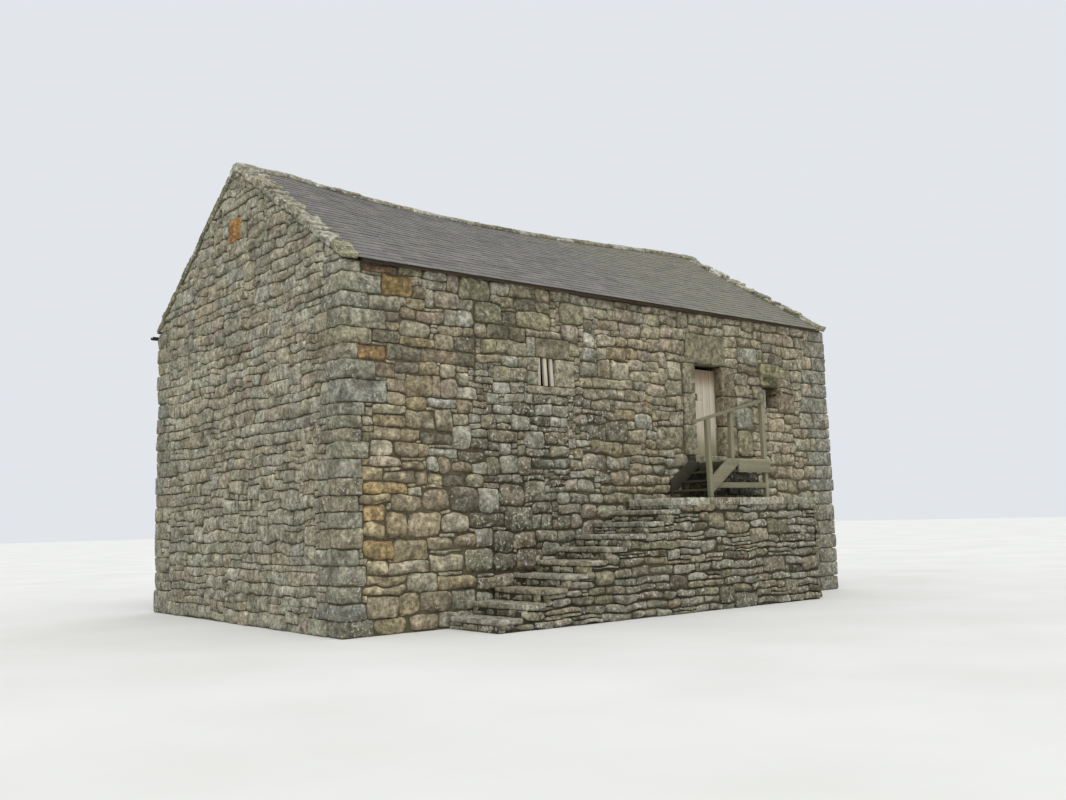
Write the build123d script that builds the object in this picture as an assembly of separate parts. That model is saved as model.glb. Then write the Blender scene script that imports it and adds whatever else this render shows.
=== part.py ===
from build123d import *
from math import atan, cos, degrees, pi, radians, sin, tan
import os

# Two-storey stone farmhouse with thick rubble walls, an upper doorway reached by an outside
# stair, and a sagging slate roof between raised gable copings.
# Millimetres. X runs along the front wall, Y from the front wall to the back, Z up.
# All sizes are given from the front left corner of the walls at ground level, and the whole
# building is moved at the end so that the middle of its footprint is the origin.

# House
length = 11000
width = 6960
upper_wall = 950
floor_ledge = 150
storey_ledge_height = 2240
upper_storey_height = 2900
mortar_joint = 8
fit_gap = 0.3
setting_gap = 10

# Roof
roof_pitch = 32.3
slate_thickness = 70
eave_overhang = 80
ridge_sag = 195
sag_skew = 0.85
sag_bays = 12
purlin_width = 120
purlin_depth = 150
purlin_places = (0.36, 0.68)
ridge_beam_width = 80
principal_width = 150
principal_depth = 180
principal_shim = 3
tie_depth = 200
tie_bearing = 550
truss_count = 2
ridge_leg = 170
ridge_thickness = 45

# Gable copings
skew_width = 330
skew_upstand = 85
skew_drip = 30
kneeler_length = 350
kneeler_overhang = 90
saddle_half = 200

# Rear gutter
gutter_radius = 60
gutter_wall = 5
gutter_drop = 10
gutter_run_out = 100
strap_thickness = 6
strap_width = 30
strap_count = 9

# Upper floor
beam_width = 200
beam_depth = 220
beam_count = 8
board_thickness = 40

# Barred window, placed from the left corner and from the upper floor
window_left = 3474
window_sill_rise = 1085
window_width = 350
window_height = 440
window_inner_width = 800
window_left_jamb = 229
window_right_jamb = 401
window_lintel_height = 317
window_lintel_left_bearing = 54
window_lintel_right_bearing = 311
window_sill_height = 132
dressed_depth = 300

# Upper doorway, placed from the right corner
door_to_right_corner = 3200
threshold_rise = 60
door_width = 710
door_height = 1650
door_inner_width = 1050
door_left_jamb = 300
door_right_jamb = 370
door_jamb_stones = 3
door_lintel_height = 535
door_lintel_bearing = 120
door_lintel_left_bearing = 220
door_reveal = 180
door_rebate = 60
threshold_height = 130
threshold_depth = 500
leaf_thickness = 40
leaf_lap = 30
leaf_foot_gap = 5
leaf_head_gap = 75
leaf_boards = 4
groove = 5
ledge_height = 110
ledge_thickness = 30
ledge_places = (0.12, 0.5, 0.88)

# Small window, placed from the right corner and from the upper floor
small_to_right_corner = 1520
small_sill_rise = 1010
small_width = 500
small_height = 405
small_lintel_height = 435
small_lintel_bearing = 45
small_frame_depth = 330
small_frame_section = 55

# Ground floor doorway, in the right gable
byre_width = 850
byre_lintel_cover = 190
byre_jamb = 260
byre_jamb_stones = 3
byre_lintel_height = 300
byre_dressed_depth = 350

# Stone forestair, placed from the sides of the upper doorway
platform_left_reach = 1760
platform_right_reach = 1090
forestair_width = 1150
step_count = 9
step_going = 400
slab_thickness = 75
slab_nosing = 20
platform_slab_count = 5

# Timber stair and landing on the forestair
landing_left_reach = 50
landing_right_reach = 75
landing_drop = 110
deck_thickness = 30
stair_front = 945
stringer_thickness = 45
stringer_above_nosing = 210
stringer_below_nosing = 60
timber_risers = 4
timber_rise = 157.5
timber_going = 221
timber_tread_thickness = 38
timber_tread_nosing = 20
wall_gap = 15
post_size = 75
newel_before_riser = 59
newel_lean = 25
newel_length = 1300
middle_post_inset = 80
landing_post_inset = 40
landing_post_lean = 45
landing_post_rise = 1150
handrail_width = 70
handrail_depth = 50
handrail_slope = 13.9
handrail_run_out = 358
rim_depth = 200
joist_depth = 150
lower_rail_clearance = 165
lower_rail_depth = 95
lower_rail_thickness = 40
lower_rail_inset = 82

# Worked out from the sizes above
lower_wall = upper_wall + floor_ledge
half_width = width / 2
wall_head = storey_ledge_height + upper_storey_height
slope = tan(radians(roof_pitch))
skew_thickness = slate_thickness + skew_upstand
tie_top = wall_head + tie_depth
floor_top = storey_ledge_height + beam_depth + board_thickness
door_right = length - door_to_right_corner
door_left = door_right - door_width
door_sill_top = floor_top + threshold_rise
door_head = door_sill_top + door_height
window_right = window_left + window_width
window_sill_top = floor_top + window_sill_rise
window_head = window_sill_top + window_height
small_right = length - small_to_right_corner
small_left = small_right - small_width
small_sill_top = floor_top + small_sill_rise
small_head = small_sill_top + small_height
byre_height = storey_ledge_height - byre_lintel_cover - byre_lintel_height
landing_left = door_left - landing_left_reach
landing_right = door_right + landing_right_reach
landing_height = door_sill_top - landing_drop
platform_left = door_left - platform_left_reach
platform_right = door_right + platform_right_reach
platform_height = landing_height - deck_thickness - timber_risers * timber_rise
step_rise = platform_height / (step_count + 1)
stair_foot = platform_left - step_count * step_going
first_riser = landing_left - (timber_risers - 1) * timber_going
newel_foot = first_riser - newel_before_riser
newel_height = platform_height + newel_length
middle_post_place = landing_left - middle_post_inset
landing_post_foot = landing_right - landing_post_inset
landing_post_height = landing_height + landing_post_rise
handrail_start = newel_foot - handrail_run_out
lower_rail_start = newel_foot + lower_rail_inset
lower_rail_bottom = platform_height + lower_rail_clearance


def block(x0, x1, y0, y1, z0, z1):
    """Upright block between two corners."""
    size = (x1 - x0, y1 - y0, z1 - z0)
    return Pos((x0 + x1) / 2, (y0 + y1) / 2, (z0 + z1) / 2) * Box(*size)


def prism_along_x(points, x0, x1):
    """Outline of (y, z) points carried from x0 to x1."""
    plane = Plane(origin=(x0, 0, 0), x_dir=(0, 1, 0), z_dir=(1, 0, 0))
    return extrude(plane * make_face(Polyline(*points, close=True)), amount=x1 - x0)


def prism_along_y(points, y0, y1):
    """Outline of (x, z) points carried from y0 to y1."""
    plane = Plane(origin=(0, y1, 0), x_dir=(1, 0, 0), z_dir=(0, -1, 0))
    return extrude(plane * make_face(Polyline(*points, close=True)), amount=y1 - y0)


def prism_along_z(points, z0, z1):
    """Outline of (x, y) points carried from z0 to z1."""
    plane = Plane(origin=(0, 0, z0), x_dir=(1, 0, 0), z_dir=(0, 0, 1))
    return extrude(plane * make_face(Polyline(*points, close=True)), amount=z1 - z0)


def to_rear(shape):
    """Mirror image on the other side of the ridge."""
    return mirror(shape, about=Plane.XZ.offset(-half_width))


def to_right(shape):
    """Mirror image at the other gable."""
    return mirror(shape, about=Plane.YZ.offset(length / 2))


def sag(x):
    """How far the ridge hangs below its straight line at x."""
    run = (x - upper_wall) / (length - 2 * upper_wall)
    if run <= 0 or run >= 1:
        return 0
    return ridge_sag * sin(pi * run**sag_skew)


def local_slope(x):
    """Rise of the front roof slope for each unit of run at x."""
    return slope - sag(x) / half_width


def roof_point(x, y, depth=0):
    """Point of the front slope's underside at y, moved square to the slope by depth."""
    rise = local_slope(x)
    return (y, wall_head + rise * y - depth / cos(atan(rise)))


def slope_stations():
    """Places along the roof between the copings where its section is drawn."""
    clear = length - 2 * upper_wall
    inner = [upper_wall + clear * i / sag_bays for i in range(sag_bays + 1)]
    return [skew_width] + inner + [length - skew_width]


def inner_stations():
    """The same places, between the inner faces of the gables only."""
    return slope_stations()[1:-1]


def sagging(section, stations):
    """Solid through one section at each station, each a list of (y, z) points."""
    faces = []
    for x in stations:
        plane = Plane(origin=(x, 0, 0), x_dir=(0, 1, 0), z_dir=(1, 0, 0))
        faces.append(plane * make_face(Polyline(*section(x), close=True)))
    return loft(faces, ruled=True)


def spaced(first, last, count):
    """Middles of count equal bays between first and last."""
    bay = (last - first) / count
    return [first + bay * (i + 0.5) for i in range(count)]


def stack(x0, x1, y0, y1, z0, z1, count):
    """Column of squared stones with open beds between them."""
    rise = (z1 - z0 + mortar_joint) / count
    stones = []
    for i in range(count):
        bottom = z0 + i * rise
        stones.append(block(x0, x1, y0, y1, bottom, bottom + rise - mortar_joint))
    return stones


def lower_gable():
    """Ground storey end wall over the full width."""
    return block(0, lower_wall, 0, width, 0, storey_ledge_height)


def upper_gable():
    """Upper storey end wall with its triangle up to the ridge."""
    outline = [
        (0, storey_ledge_height),
        (width, storey_ledge_height),
        (width, wall_head),
        roof_point(0, half_width),
        (0, wall_head),
    ]
    return prism_along_x(outline, 0, upper_wall)


def byre_dressing_space():
    """Room that the doorway's jambs and lintel take in the right gable."""
    half = byre_width / 2 + byre_jamb
    top = byre_height + byre_lintel_height
    return block(length - byre_dressed_depth, length, half_width - half, half_width + half, 0, top)


def lower_right_gable():
    half = byre_width / 2
    passage = block(
        length - lower_wall, length, half_width - half, half_width + half, 0, byre_height
    )
    return to_right(lower_gable()) - byre_dressing_space() - passage


def byre_jambs():
    half = byre_width / 2
    x0 = length - byre_dressed_depth
    stones = []
    for y0 in (half_width - half - byre_jamb, half_width + half):
        top = byre_height - mortar_joint
        stones += stack(x0, length, y0, y0 + byre_jamb, 0, top, byre_jamb_stones)
    return stones


def byre_lintel():
    half = byre_width / 2 + byre_jamb
    top = byre_height + byre_lintel_height
    x0 = length - byre_dressed_depth
    return block(x0, length, half_width - half, half_width + half, byre_height, top)


def window_dressing_space():
    x0 = window_left - window_left_jamb
    x1 = window_right + window_right_jamb
    z0 = window_sill_top - window_sill_height
    return block(x0, x1, 0, dressed_depth, z0, window_head + window_lintel_height)


def window_passage():
    """Light that widens towards the room."""
    middle = (window_left + window_right) / 2
    narrow = window_width / 2
    wide = window_inner_width / 2
    outline = [
        (middle - narrow, 0),
        (middle + narrow, 0),
        (middle + narrow, dressed_depth),
        (middle + wide, upper_wall),
        (middle - wide, upper_wall),
        (middle - narrow, dressed_depth),
    ]
    return prism_along_z(outline, window_sill_top, window_head)


def window_jambs():
    """Two stones and a narrow upright on the left, one tall stone on the right."""
    x0 = window_left - window_left_jamb
    top = window_head - mortar_joint
    lintel_left = window_left - window_lintel_left_bearing
    stones = stack(x0, window_left, 0, dressed_depth, window_sill_top, top, 2)
    stones.append(
        block(
            x0,
            lintel_left - mortar_joint,
            0,
            dressed_depth,
            window_head,
            window_head + window_lintel_height,
        )
    )
    x1 = window_right + window_right_jamb
    stones.append(block(window_right, x1, 0, dressed_depth, window_sill_top, top))
    return stones


def window_lintel():
    x0 = window_left - window_lintel_left_bearing
    x1 = window_right + window_lintel_right_bearing
    return block(x0, x1, 0, dressed_depth, window_head, window_head + window_lintel_height)


def window_sill():
    x0 = window_left - window_left_jamb
    x1 = window_right + window_right_jamb
    z0 = window_sill_top - window_sill_height
    return block(x0, x1, 0, dressed_depth, z0, window_sill_top - mortar_joint)


def door_jamb_space():
    x0 = door_left - door_left_jamb
    x1 = door_right + door_right_jamb
    return block(x0, x1, 0, dressed_depth, door_sill_top, door_head)


def door_passage():
    """Way in behind the dressed stones, wider at the room."""
    middle = (door_left + door_right) / 2
    narrow = door_width / 2 + door_rebate
    wide = door_inner_width / 2
    outline = [
        (middle - narrow, dressed_depth),
        (middle + narrow, dressed_depth),
        (middle + wide, upper_wall),
        (middle - wide, upper_wall),
    ]
    return prism_along_z(outline, door_sill_top, door_head)


def door_jambs():
    """Jamb stones, rebated at the back for the leaf."""
    top = door_head - mortar_joint
    left_edge = door_left - door_left_jamb
    right_edge = door_right + door_right_jamb
    left = stack(left_edge, door_left, 0, dressed_depth, door_sill_top, top, door_jamb_stones)
    right = stack(door_right, right_edge, 0, dressed_depth, door_sill_top, top, door_jamb_stones)
    rebate = block(
        door_left - door_rebate,
        door_right + door_rebate,
        door_reveal,
        dressed_depth,
        door_sill_top,
        door_head,
    )
    return [stone - rebate for stone in left + right]


def door_lintel():
    x0 = door_left - door_lintel_left_bearing
    x1 = door_right + door_lintel_bearing
    return block(x0, x1, 0, dressed_depth, door_head, door_head + door_lintel_height)


def door_threshold():
    x0 = door_left - door_rebate
    x1 = door_right + door_rebate
    return block(x0, x1, 0, threshold_depth, door_sill_top - threshold_height, door_sill_top)


def door_leaf():
    """Boarded leaf closed against the backs of the jambs, with ledges on its inner face."""
    x0 = door_left - leaf_lap
    x1 = door_right + leaf_lap
    front = door_reveal + fit_gap
    back = front + leaf_thickness
    bottom = door_sill_top + leaf_foot_gap
    top = door_head - leaf_head_gap
    leaf = block(x0, x1, front, back, bottom, top)
    board = (x1 - x0) / leaf_boards
    for i in range(1, leaf_boards):
        x = x0 + i * board
        notch = [(x - groove, front), (x + groove, front), (x, front + groove)]
        leaf -= prism_along_z(notch, bottom, top)
    for place in ledge_places:
        z = bottom + (top - bottom) * place
        leaf += block(
            x0, x1, back, back + ledge_thickness, z - ledge_height / 2, z + ledge_height / 2
        )
    return leaf


def small_window_passage():
    return block(small_left, small_right, 0, upper_wall, small_sill_top, small_head)


def small_window_lintel():
    x0 = small_left - small_lintel_bearing
    x1 = small_right + small_lintel_bearing
    return block(x0, x1, 0, dressed_depth, small_head, small_head + small_lintel_height)


def small_window_frame():
    """Fixed timber frame set back in the opening."""
    y0 = small_frame_depth
    y1 = small_frame_depth + small_frame_section
    outer = block(small_left, small_right, y0, y1, small_sill_top, small_head)
    inner = block(
        small_left + small_frame_section,
        small_right - small_frame_section,
        y0,
        y1,
        small_sill_top + small_frame_section,
        small_head - small_frame_section,
    )
    return outer - inner


def upper_front_wall():
    wall = block(upper_wall, length - upper_wall, 0, upper_wall, storey_ledge_height, wall_head)
    wall -= window_dressing_space() + window_passage()
    wall -= door_jamb_space() + door_passage()
    wall -= door_lintel()
    wall -= door_threshold()
    wall -= small_window_passage()
    wall -= small_window_lintel()
    return wall


def upper_rear_wall():
    x1 = length - upper_wall
    return block(upper_wall, x1, width - upper_wall, width, storey_ledge_height, wall_head)


def lower_front_wall():
    return block(lower_wall, length - lower_wall, 0, lower_wall, 0, storey_ledge_height)


def lower_rear_wall():
    return to_rear(lower_front_wall())


def floor_beams():
    """Beams from the front wall's ledge to the rear wall's."""
    top = storey_ledge_height + beam_depth
    y0 = upper_wall + setting_gap
    beams = []
    for x in spaced(lower_wall, length - lower_wall, beam_count):
        x0 = x - beam_width / 2
        beams.append(block(x0, x0 + beam_width, y0, width - y0, storey_ledge_height, top))
    return beams


def floor_boards():
    edge = upper_wall + setting_gap
    z0 = storey_ledge_height + beam_depth
    return block(edge, length - edge, edge, width - edge, z0, floor_top)


def front_slates():
    """Slates on their boarding, from the eave to the ridge between the copings."""

    def section(x):
        return [
            roof_point(x, -eave_overhang),
            roof_point(x, half_width),
            roof_point(x, half_width, -slate_thickness),
            roof_point(x, -eave_overhang, -slate_thickness),
        ]

    return sagging(section, slope_stations())


def ridge_stones():
    """Angled capping that follows the sagging ridge."""
    top = -(slate_thickness + ridge_thickness)

    def section(x):
        y0 = half_width - ridge_leg
        bottom = roof_point(x, y0, -slate_thickness)
        bed = roof_point(x, half_width, -slate_thickness)
        crown = roof_point(x, half_width, top)
        shoulder = roof_point(x, y0, top)
        return [
            bottom,
            bed,
            (width - bottom[0], bottom[1]),
            (width - shoulder[0], shoulder[1]),
            crown,
            shoulder,
        ]

    return sagging(section, slope_stations())


def purlin(place):
    """Purlin under the front slope, square to it, at a share of the slope's run."""

    def section(x):
        angle = atan(local_slope(x))
        y, z = roof_point(x, half_width * place)
        along = (purlin_width * cos(angle), purlin_width * sin(angle))
        inward = (purlin_depth * sin(angle), -purlin_depth * cos(angle))
        return [
            (y, z),
            (y + along[0], z + along[1]),
            (y + along[0] + inward[0], z + along[1] + inward[1]),
            (y + inward[0], z + inward[1]),
        ]

    return sagging(section, inner_stations())


def ridge_beam():
    def section(x):
        y0 = half_width - ridge_beam_width / 2
        y1 = half_width + ridge_beam_width / 2
        top = roof_point(x, y0)[1]
        bottom = roof_point(x, half_width, purlin_depth)[1]
        return [(y0, bottom), (y1, bottom), (y1, top), (y0, top)]

    return sagging(section, inner_stations())


def purlins():
    front = [purlin(place) for place in purlin_places]
    return front + [to_rear(timber) for timber in front] + [ridge_beam()]


def truss(x):
    """Tie beam on the wall heads and two principal rafters under the purlins."""
    x0 = x - principal_width / 2
    x1 = x + principal_width / 2
    rise = local_slope(x)
    upper = purlin_depth + principal_shim
    lower = upper + principal_depth
    seat = tie_top + fit_gap
    foot_out = (seat - wall_head + upper / cos(atan(rise))) / rise
    foot_in = (seat - wall_head + lower / cos(atan(rise))) / rise
    crown = half_width - fit_gap / 2
    outline = [
        (foot_out, seat),
        (foot_in, seat),
        roof_point(x, crown, lower),
        roof_point(x, crown, upper),
    ]
    principal = prism_along_x(outline, x0, x1)
    bearing = upper_wall - tie_bearing
    tie = block(x0, x1, bearing, width - bearing, wall_head, tie_top)
    return [tie, principal, to_rear(principal)]


def trusses():
    timbers = []
    for i in range(truss_count):
        share = (i + 1) / (truss_count + 1)
        timbers += truss(upper_wall + (length - 2 * upper_wall) * share)
    return timbers


def front_left_skew():
    """Raised coping along the front slope of the left gable."""
    y0 = kneeler_length + mortar_joint
    y1 = half_width - saddle_half - mortar_joint
    outline = [
        roof_point(0, y0),
        roof_point(0, y1),
        roof_point(0, y1, -skew_thickness),
        roof_point(0, y0, -skew_thickness),
    ]
    return prism_along_x(outline, -skew_drip, skew_width)


def front_left_kneeler():
    """Foot stone of the coping, flat below where it leaves the wall."""
    outline = [
        (-kneeler_overhang, wall_head),
        (0, wall_head),
        roof_point(0, kneeler_length),
        roof_point(0, kneeler_length, -skew_thickness),
        roof_point(0, -kneeler_overhang, -skew_thickness),
    ]
    return prism_along_x(outline, -skew_drip, skew_width)


def left_saddle():
    """Apex stone over the point of the left gable."""
    y0 = half_width - saddle_half
    foot = roof_point(0, y0)
    shoulder = roof_point(0, y0, -skew_thickness)
    outline = [
        foot,
        roof_point(0, half_width),
        (width - foot[0], foot[1]),
        (width - shoulder[0], shoulder[1]),
        roof_point(0, half_width, -skew_thickness),
        shoulder,
    ]
    return prism_along_x(outline, -skew_drip, skew_width)


def gutter_centre():
    """Middle of the gutter's mouth, behind the rear wall and under the slates."""
    lip = roof_point(0, -eave_overhang)[1]
    return (width + strap_thickness + gutter_radius, lip - gutter_drop)


def half_ring(outer, inner, x0, x1):
    """Lower half of a tube along X around the gutter's centre."""
    y, z = gutter_centre()
    plane = Plane(origin=(x0, y, z), x_dir=(0, 1, 0), z_dir=(1, 0, 0))
    ring = Circle(outer) - Circle(inner)
    upper_half = Pos(0, outer) * Rectangle(2 * outer, 2 * outer)
    return extrude(plane * (ring - upper_half), amount=x1 - x0)


def rear_gutter():
    x0 = -gutter_run_out
    return half_ring(gutter_radius, gutter_radius - gutter_wall, x0, length + gutter_run_out)


def gutter_straps():
    """Iron straps that cradle the gutter and turn up against the wall."""
    straps = []
    for x in spaced(0, length, strap_count):
        x0 = x - strap_width / 2
        x1 = x + strap_width / 2
        z = gutter_centre()[1]
        cradle = half_ring(gutter_radius + strap_thickness, gutter_radius, x0, x1)
        tail = block(x0, x1, width, width + strap_thickness, z - gutter_radius, z)
        straps.append(cradle + tail)
    return straps


def forestair_core():
    """Drystone body under the steps and the platform."""
    outline = [(stair_foot, 0)]
    for i in range(step_count):
        top = (i + 1) * step_rise - slab_thickness
        outline.append((stair_foot + i * step_going, top))
        outline.append((stair_foot + (i + 1) * step_going, top))
    top = platform_height - slab_thickness
    outline += [(platform_left, top), (platform_right, top), (platform_right, 0)]
    return prism_along_y(outline, -forestair_width, 0)


def forestair_treads():
    treads = []
    for i in range(step_count):
        top = (i + 1) * step_rise
        x0 = stair_foot + i * step_going - slab_nosing
        x1 = stair_foot + (i + 1) * step_going
        y0 = -forestair_width - slab_nosing
        treads.append(block(x0, x1, y0, 0, top - slab_thickness, top))
    return treads


def platform_slabs():
    bay = (platform_right - platform_left + slab_nosing + mortar_joint) / platform_slab_count
    slabs = []
    for i in range(platform_slab_count):
        x0 = platform_left - slab_nosing + i * bay
        x1 = x0 + bay - mortar_joint
        y0 = -forestair_width - slab_nosing
        slabs.append(block(x0, x1, y0, 0, platform_height - slab_thickness, platform_height))
    return slabs


def nosing_line(x):
    """Height of the line over the front edges of the timber treads."""
    return platform_height + timber_rise * (1 + (x - first_riser) / timber_going)


def rail_underside(x):
    return newel_height + (x - newel_foot) * tan(radians(handrail_slope))


def leaning_post(foot, lean, y0, z0, left_top, right_top):
    """Square post whose head stands to the left of its foot by lean."""
    half = post_size / 2
    outline = [
        (foot - half, z0),
        (foot + half, z0),
        (foot + half - lean, right_top),
        (foot - half - lean, left_top),
    ]
    return prism_along_y(outline, y0, y0 + post_size)


def newel_post():
    half = post_size / 2
    left_top = rail_underside(newel_foot - newel_lean - half)
    right_top = rail_underside(newel_foot - newel_lean + half)
    y0 = -stair_front - (post_size - stringer_thickness) / 2
    return leaning_post(newel_foot, newel_lean, y0, platform_height, left_top, right_top)


def middle_post():
    """Post that stands on the top tread behind the outer stringer."""
    half = post_size / 2
    z0 = platform_height + (timber_risers - 1) * timber_rise
    left_top = rail_underside(middle_post_place - half)
    right_top = rail_underside(middle_post_place + half)
    y0 = -stair_front + stringer_thickness
    return leaning_post(middle_post_place, 0, y0, z0, left_top, right_top)


def landing_post():
    y0 = -stair_front + stringer_thickness
    top = landing_post_height
    return leaning_post(landing_post_foot, landing_post_lean, y0, platform_height, top, top)


def stringer(y0):
    """Inclined board that carries the ends of the treads, cut level at the landing."""
    outline = [
        (newel_foot, nosing_line(newel_foot) - stringer_below_nosing),
        (landing_left, nosing_line(landing_left) - stringer_below_nosing),
        (landing_left, nosing_line(landing_left) + stringer_above_nosing),
        (newel_foot, nosing_line(newel_foot) + stringer_above_nosing),
    ]
    board = prism_along_y(outline, y0, y0 + stringer_thickness)
    above_deck = block(
        newel_foot,
        landing_left,
        y0,
        y0 + stringer_thickness,
        landing_height,
        landing_height + stringer_above_nosing,
    )
    return board - above_deck


def stringers():
    """Outer board tenoned to the newel, inner board along the wall."""
    outer = stringer(-stair_front) - newel_post()
    inner = stringer(-wall_gap - stringer_thickness)
    return [outer, inner]


def timber_treads():
    treads = []
    for i in range(timber_risers - 1):
        top = platform_height + (i + 1) * timber_rise
        x0 = first_riser + i * timber_going - timber_tread_nosing
        x1 = first_riser + (i + 1) * timber_going
        y0 = -stair_front + stringer_thickness
        y1 = -wall_gap - stringer_thickness
        treads.append(block(x0, x1, y0, y1, top - timber_tread_thickness, top))
    return treads


def rim_board():
    z1 = landing_height - deck_thickness
    y0 = -stair_front
    return block(landing_left, landing_right, y0, y0 + stringer_thickness, z1 - rim_depth, z1)


def landing_joists():
    """Ledger on the wall and a joist at each side of the landing."""
    z1 = landing_height - deck_thickness
    t = stringer_thickness
    ledger = block(landing_left, landing_right, -t, 0, z1 - rim_depth, z1)
    rim_back = -stair_front + t
    left = block(landing_left, landing_left + t, rim_back, -t - fit_gap, z1 - joist_depth, z1)
    x0 = landing_right - 2 * t
    right = block(x0, x0 + t, rim_back + post_size, -t - fit_gap, z1 - joist_depth, z1)
    return [ledger, left, right]


def landing_deck():
    z1 = landing_height
    deck = block(landing_left, landing_right, -stair_front, 0, z1 - deck_thickness, z1)
    return deck - landing_post()


def handrail():
    """Rail on the heads of the newel and the middle post, ending at the landing post."""
    end = landing_post_foot
    outline = [
        (handrail_start, rail_underside(handrail_start)),
        (end, rail_underside(end)),
        (end, rail_underside(end) + handrail_depth),
        (handrail_start, rail_underside(handrail_start) + handrail_depth),
    ]
    y0 = -stair_front + stringer_thickness - handrail_width / 2
    return prism_along_y(outline, y0, y0 + handrail_width) - landing_post()


def lower_rail():
    """Level rail between the outer stringer and the landing post."""
    y0 = -stair_front + stringer_thickness
    z0 = lower_rail_bottom
    rail = block(
        lower_rail_start,
        landing_post_foot,
        y0,
        y0 + lower_rail_thickness,
        z0,
        z0 + lower_rail_depth,
    )
    return rail - landing_post()


nodes = {
    "lower_front_wall": lower_front_wall(),
    "lower_rear_wall": lower_rear_wall(),
    "lower_left_gable": lower_gable(),
    "lower_right_gable": lower_right_gable(),
    "upper_front_wall": upper_front_wall(),
    "upper_rear_wall": upper_rear_wall(),
    "upper_left_gable": upper_gable(),
    "upper_right_gable": to_right(upper_gable()),
    "byre_door_jambs": byre_jambs(),
    "byre_door_lintel": byre_lintel(),
    "window_jambs": window_jambs(),
    "window_lintel": window_lintel(),
    "window_sill": window_sill(),
    "door_jambs": door_jambs(),
    "door_lintel": door_lintel(),
    "door_threshold": door_threshold(),
    "door_leaf": door_leaf(),
    "small_window_lintel": small_window_lintel(),
    "small_window_frame": small_window_frame(),
    "floor_beams": floor_beams(),
    "floor_boards": floor_boards(),
    "front_slates": front_slates(),
    "rear_slates": to_rear(front_slates()),
    "ridge_stones": ridge_stones(),
    "roof_purlins": purlins(),
    "roof_trusses": trusses(),
    "left_skews": [front_left_skew(), to_rear(front_left_skew())],
    "right_skews": [to_right(front_left_skew()), to_right(to_rear(front_left_skew()))],
    "kneelers": [
        front_left_kneeler(),
        to_rear(front_left_kneeler()),
        to_right(front_left_kneeler()),
        to_right(to_rear(front_left_kneeler())),
    ],
    "saddle_stones": [left_saddle(), to_right(left_saddle())],
    "rear_gutter": rear_gutter(),
    "gutter_straps": gutter_straps(),
    "forestair_core": forestair_core(),
    "forestair_treads": forestair_treads(),
    "platform_slabs": platform_slabs(),
    "stair_stringers": stringers(),
    "stair_treads": timber_treads(),
    "landing_rim_board": rim_board(),
    "landing_joists": landing_joists(),
    "landing_deck": landing_deck(),
    "newel_post": newel_post(),
    "middle_post": middle_post(),
    "landing_post": landing_post(),
    "handrail": handrail(),
    "lower_rail": lower_rail(),
}

# The origin is at ground level under the middle of everything, forestair and gutter included.
footprint_front = -forestair_width - slab_nosing
footprint_back = gutter_centre()[0] + gutter_radius + strap_thickness
to_origin = Pos(-length / 2, -(footprint_front + footprint_back) / 2, 0)

os.makedirs("parts", exist_ok=True)
for name, shape in nodes.items():
    pieces = shape if isinstance(shape, list) else [shape]
    solids = [solid for piece in pieces for solid in piece.solids()]
    placed = [to_origin * solid for solid in solids]
    whole = placed[0] if len(placed) == 1 else Compound(children=placed)
    export_step(whole, f"parts/{name}.step")
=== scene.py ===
import math
import random

import bmesh
import bpy
import numpy as np
from mathutils import Matrix, Vector


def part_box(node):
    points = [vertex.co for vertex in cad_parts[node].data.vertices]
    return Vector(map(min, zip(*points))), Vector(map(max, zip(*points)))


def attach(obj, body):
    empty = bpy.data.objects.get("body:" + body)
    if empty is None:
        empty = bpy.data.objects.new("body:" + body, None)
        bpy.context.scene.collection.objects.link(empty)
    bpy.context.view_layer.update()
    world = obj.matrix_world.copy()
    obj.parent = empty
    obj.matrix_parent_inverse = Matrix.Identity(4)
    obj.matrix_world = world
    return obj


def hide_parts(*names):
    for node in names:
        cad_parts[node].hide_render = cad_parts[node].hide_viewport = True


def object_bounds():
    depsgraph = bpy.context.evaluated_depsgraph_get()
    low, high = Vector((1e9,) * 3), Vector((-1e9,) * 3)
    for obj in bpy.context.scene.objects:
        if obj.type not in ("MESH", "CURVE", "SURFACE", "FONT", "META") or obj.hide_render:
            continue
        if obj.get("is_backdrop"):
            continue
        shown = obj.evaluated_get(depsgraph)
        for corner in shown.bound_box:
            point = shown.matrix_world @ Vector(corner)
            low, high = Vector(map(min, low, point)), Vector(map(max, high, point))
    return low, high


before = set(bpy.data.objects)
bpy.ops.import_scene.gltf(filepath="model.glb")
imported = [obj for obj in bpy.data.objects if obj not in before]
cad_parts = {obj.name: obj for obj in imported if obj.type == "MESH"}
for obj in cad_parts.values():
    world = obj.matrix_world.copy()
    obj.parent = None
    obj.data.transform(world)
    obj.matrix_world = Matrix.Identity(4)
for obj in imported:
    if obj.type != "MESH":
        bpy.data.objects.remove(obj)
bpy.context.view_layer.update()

# The looks of a two-storey stone farmhouse: rubble, dressed stones, slates and timbers modelled
# one by one. Metres. Places on the house are given from its front left corner at ground level,
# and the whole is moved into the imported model's frame as each piece is built.
CORNER = np.array([*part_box("lower_left_gable")[0]])
RNG = random.Random(1703)


def house_box(node):
    """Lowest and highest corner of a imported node, from the house's corner."""
    low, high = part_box(node)
    return np.array(low) - CORNER, np.array(high) - CORNER


# Walls
LENGTH = house_box("lower_right_gable")[1][0]
WIDTH = house_box("lower_left_gable")[1][1]
WALL_HEAD = house_box("upper_front_wall")[1][2]
HALF_WIDTH = WIDTH / 2
UPPER_WALL = house_box("upper_left_gable")[1][0]
CORE_RECESS = 0.04
REVEAL_RECESS = 0.03
STONE_DEPTH = 0.09
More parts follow.
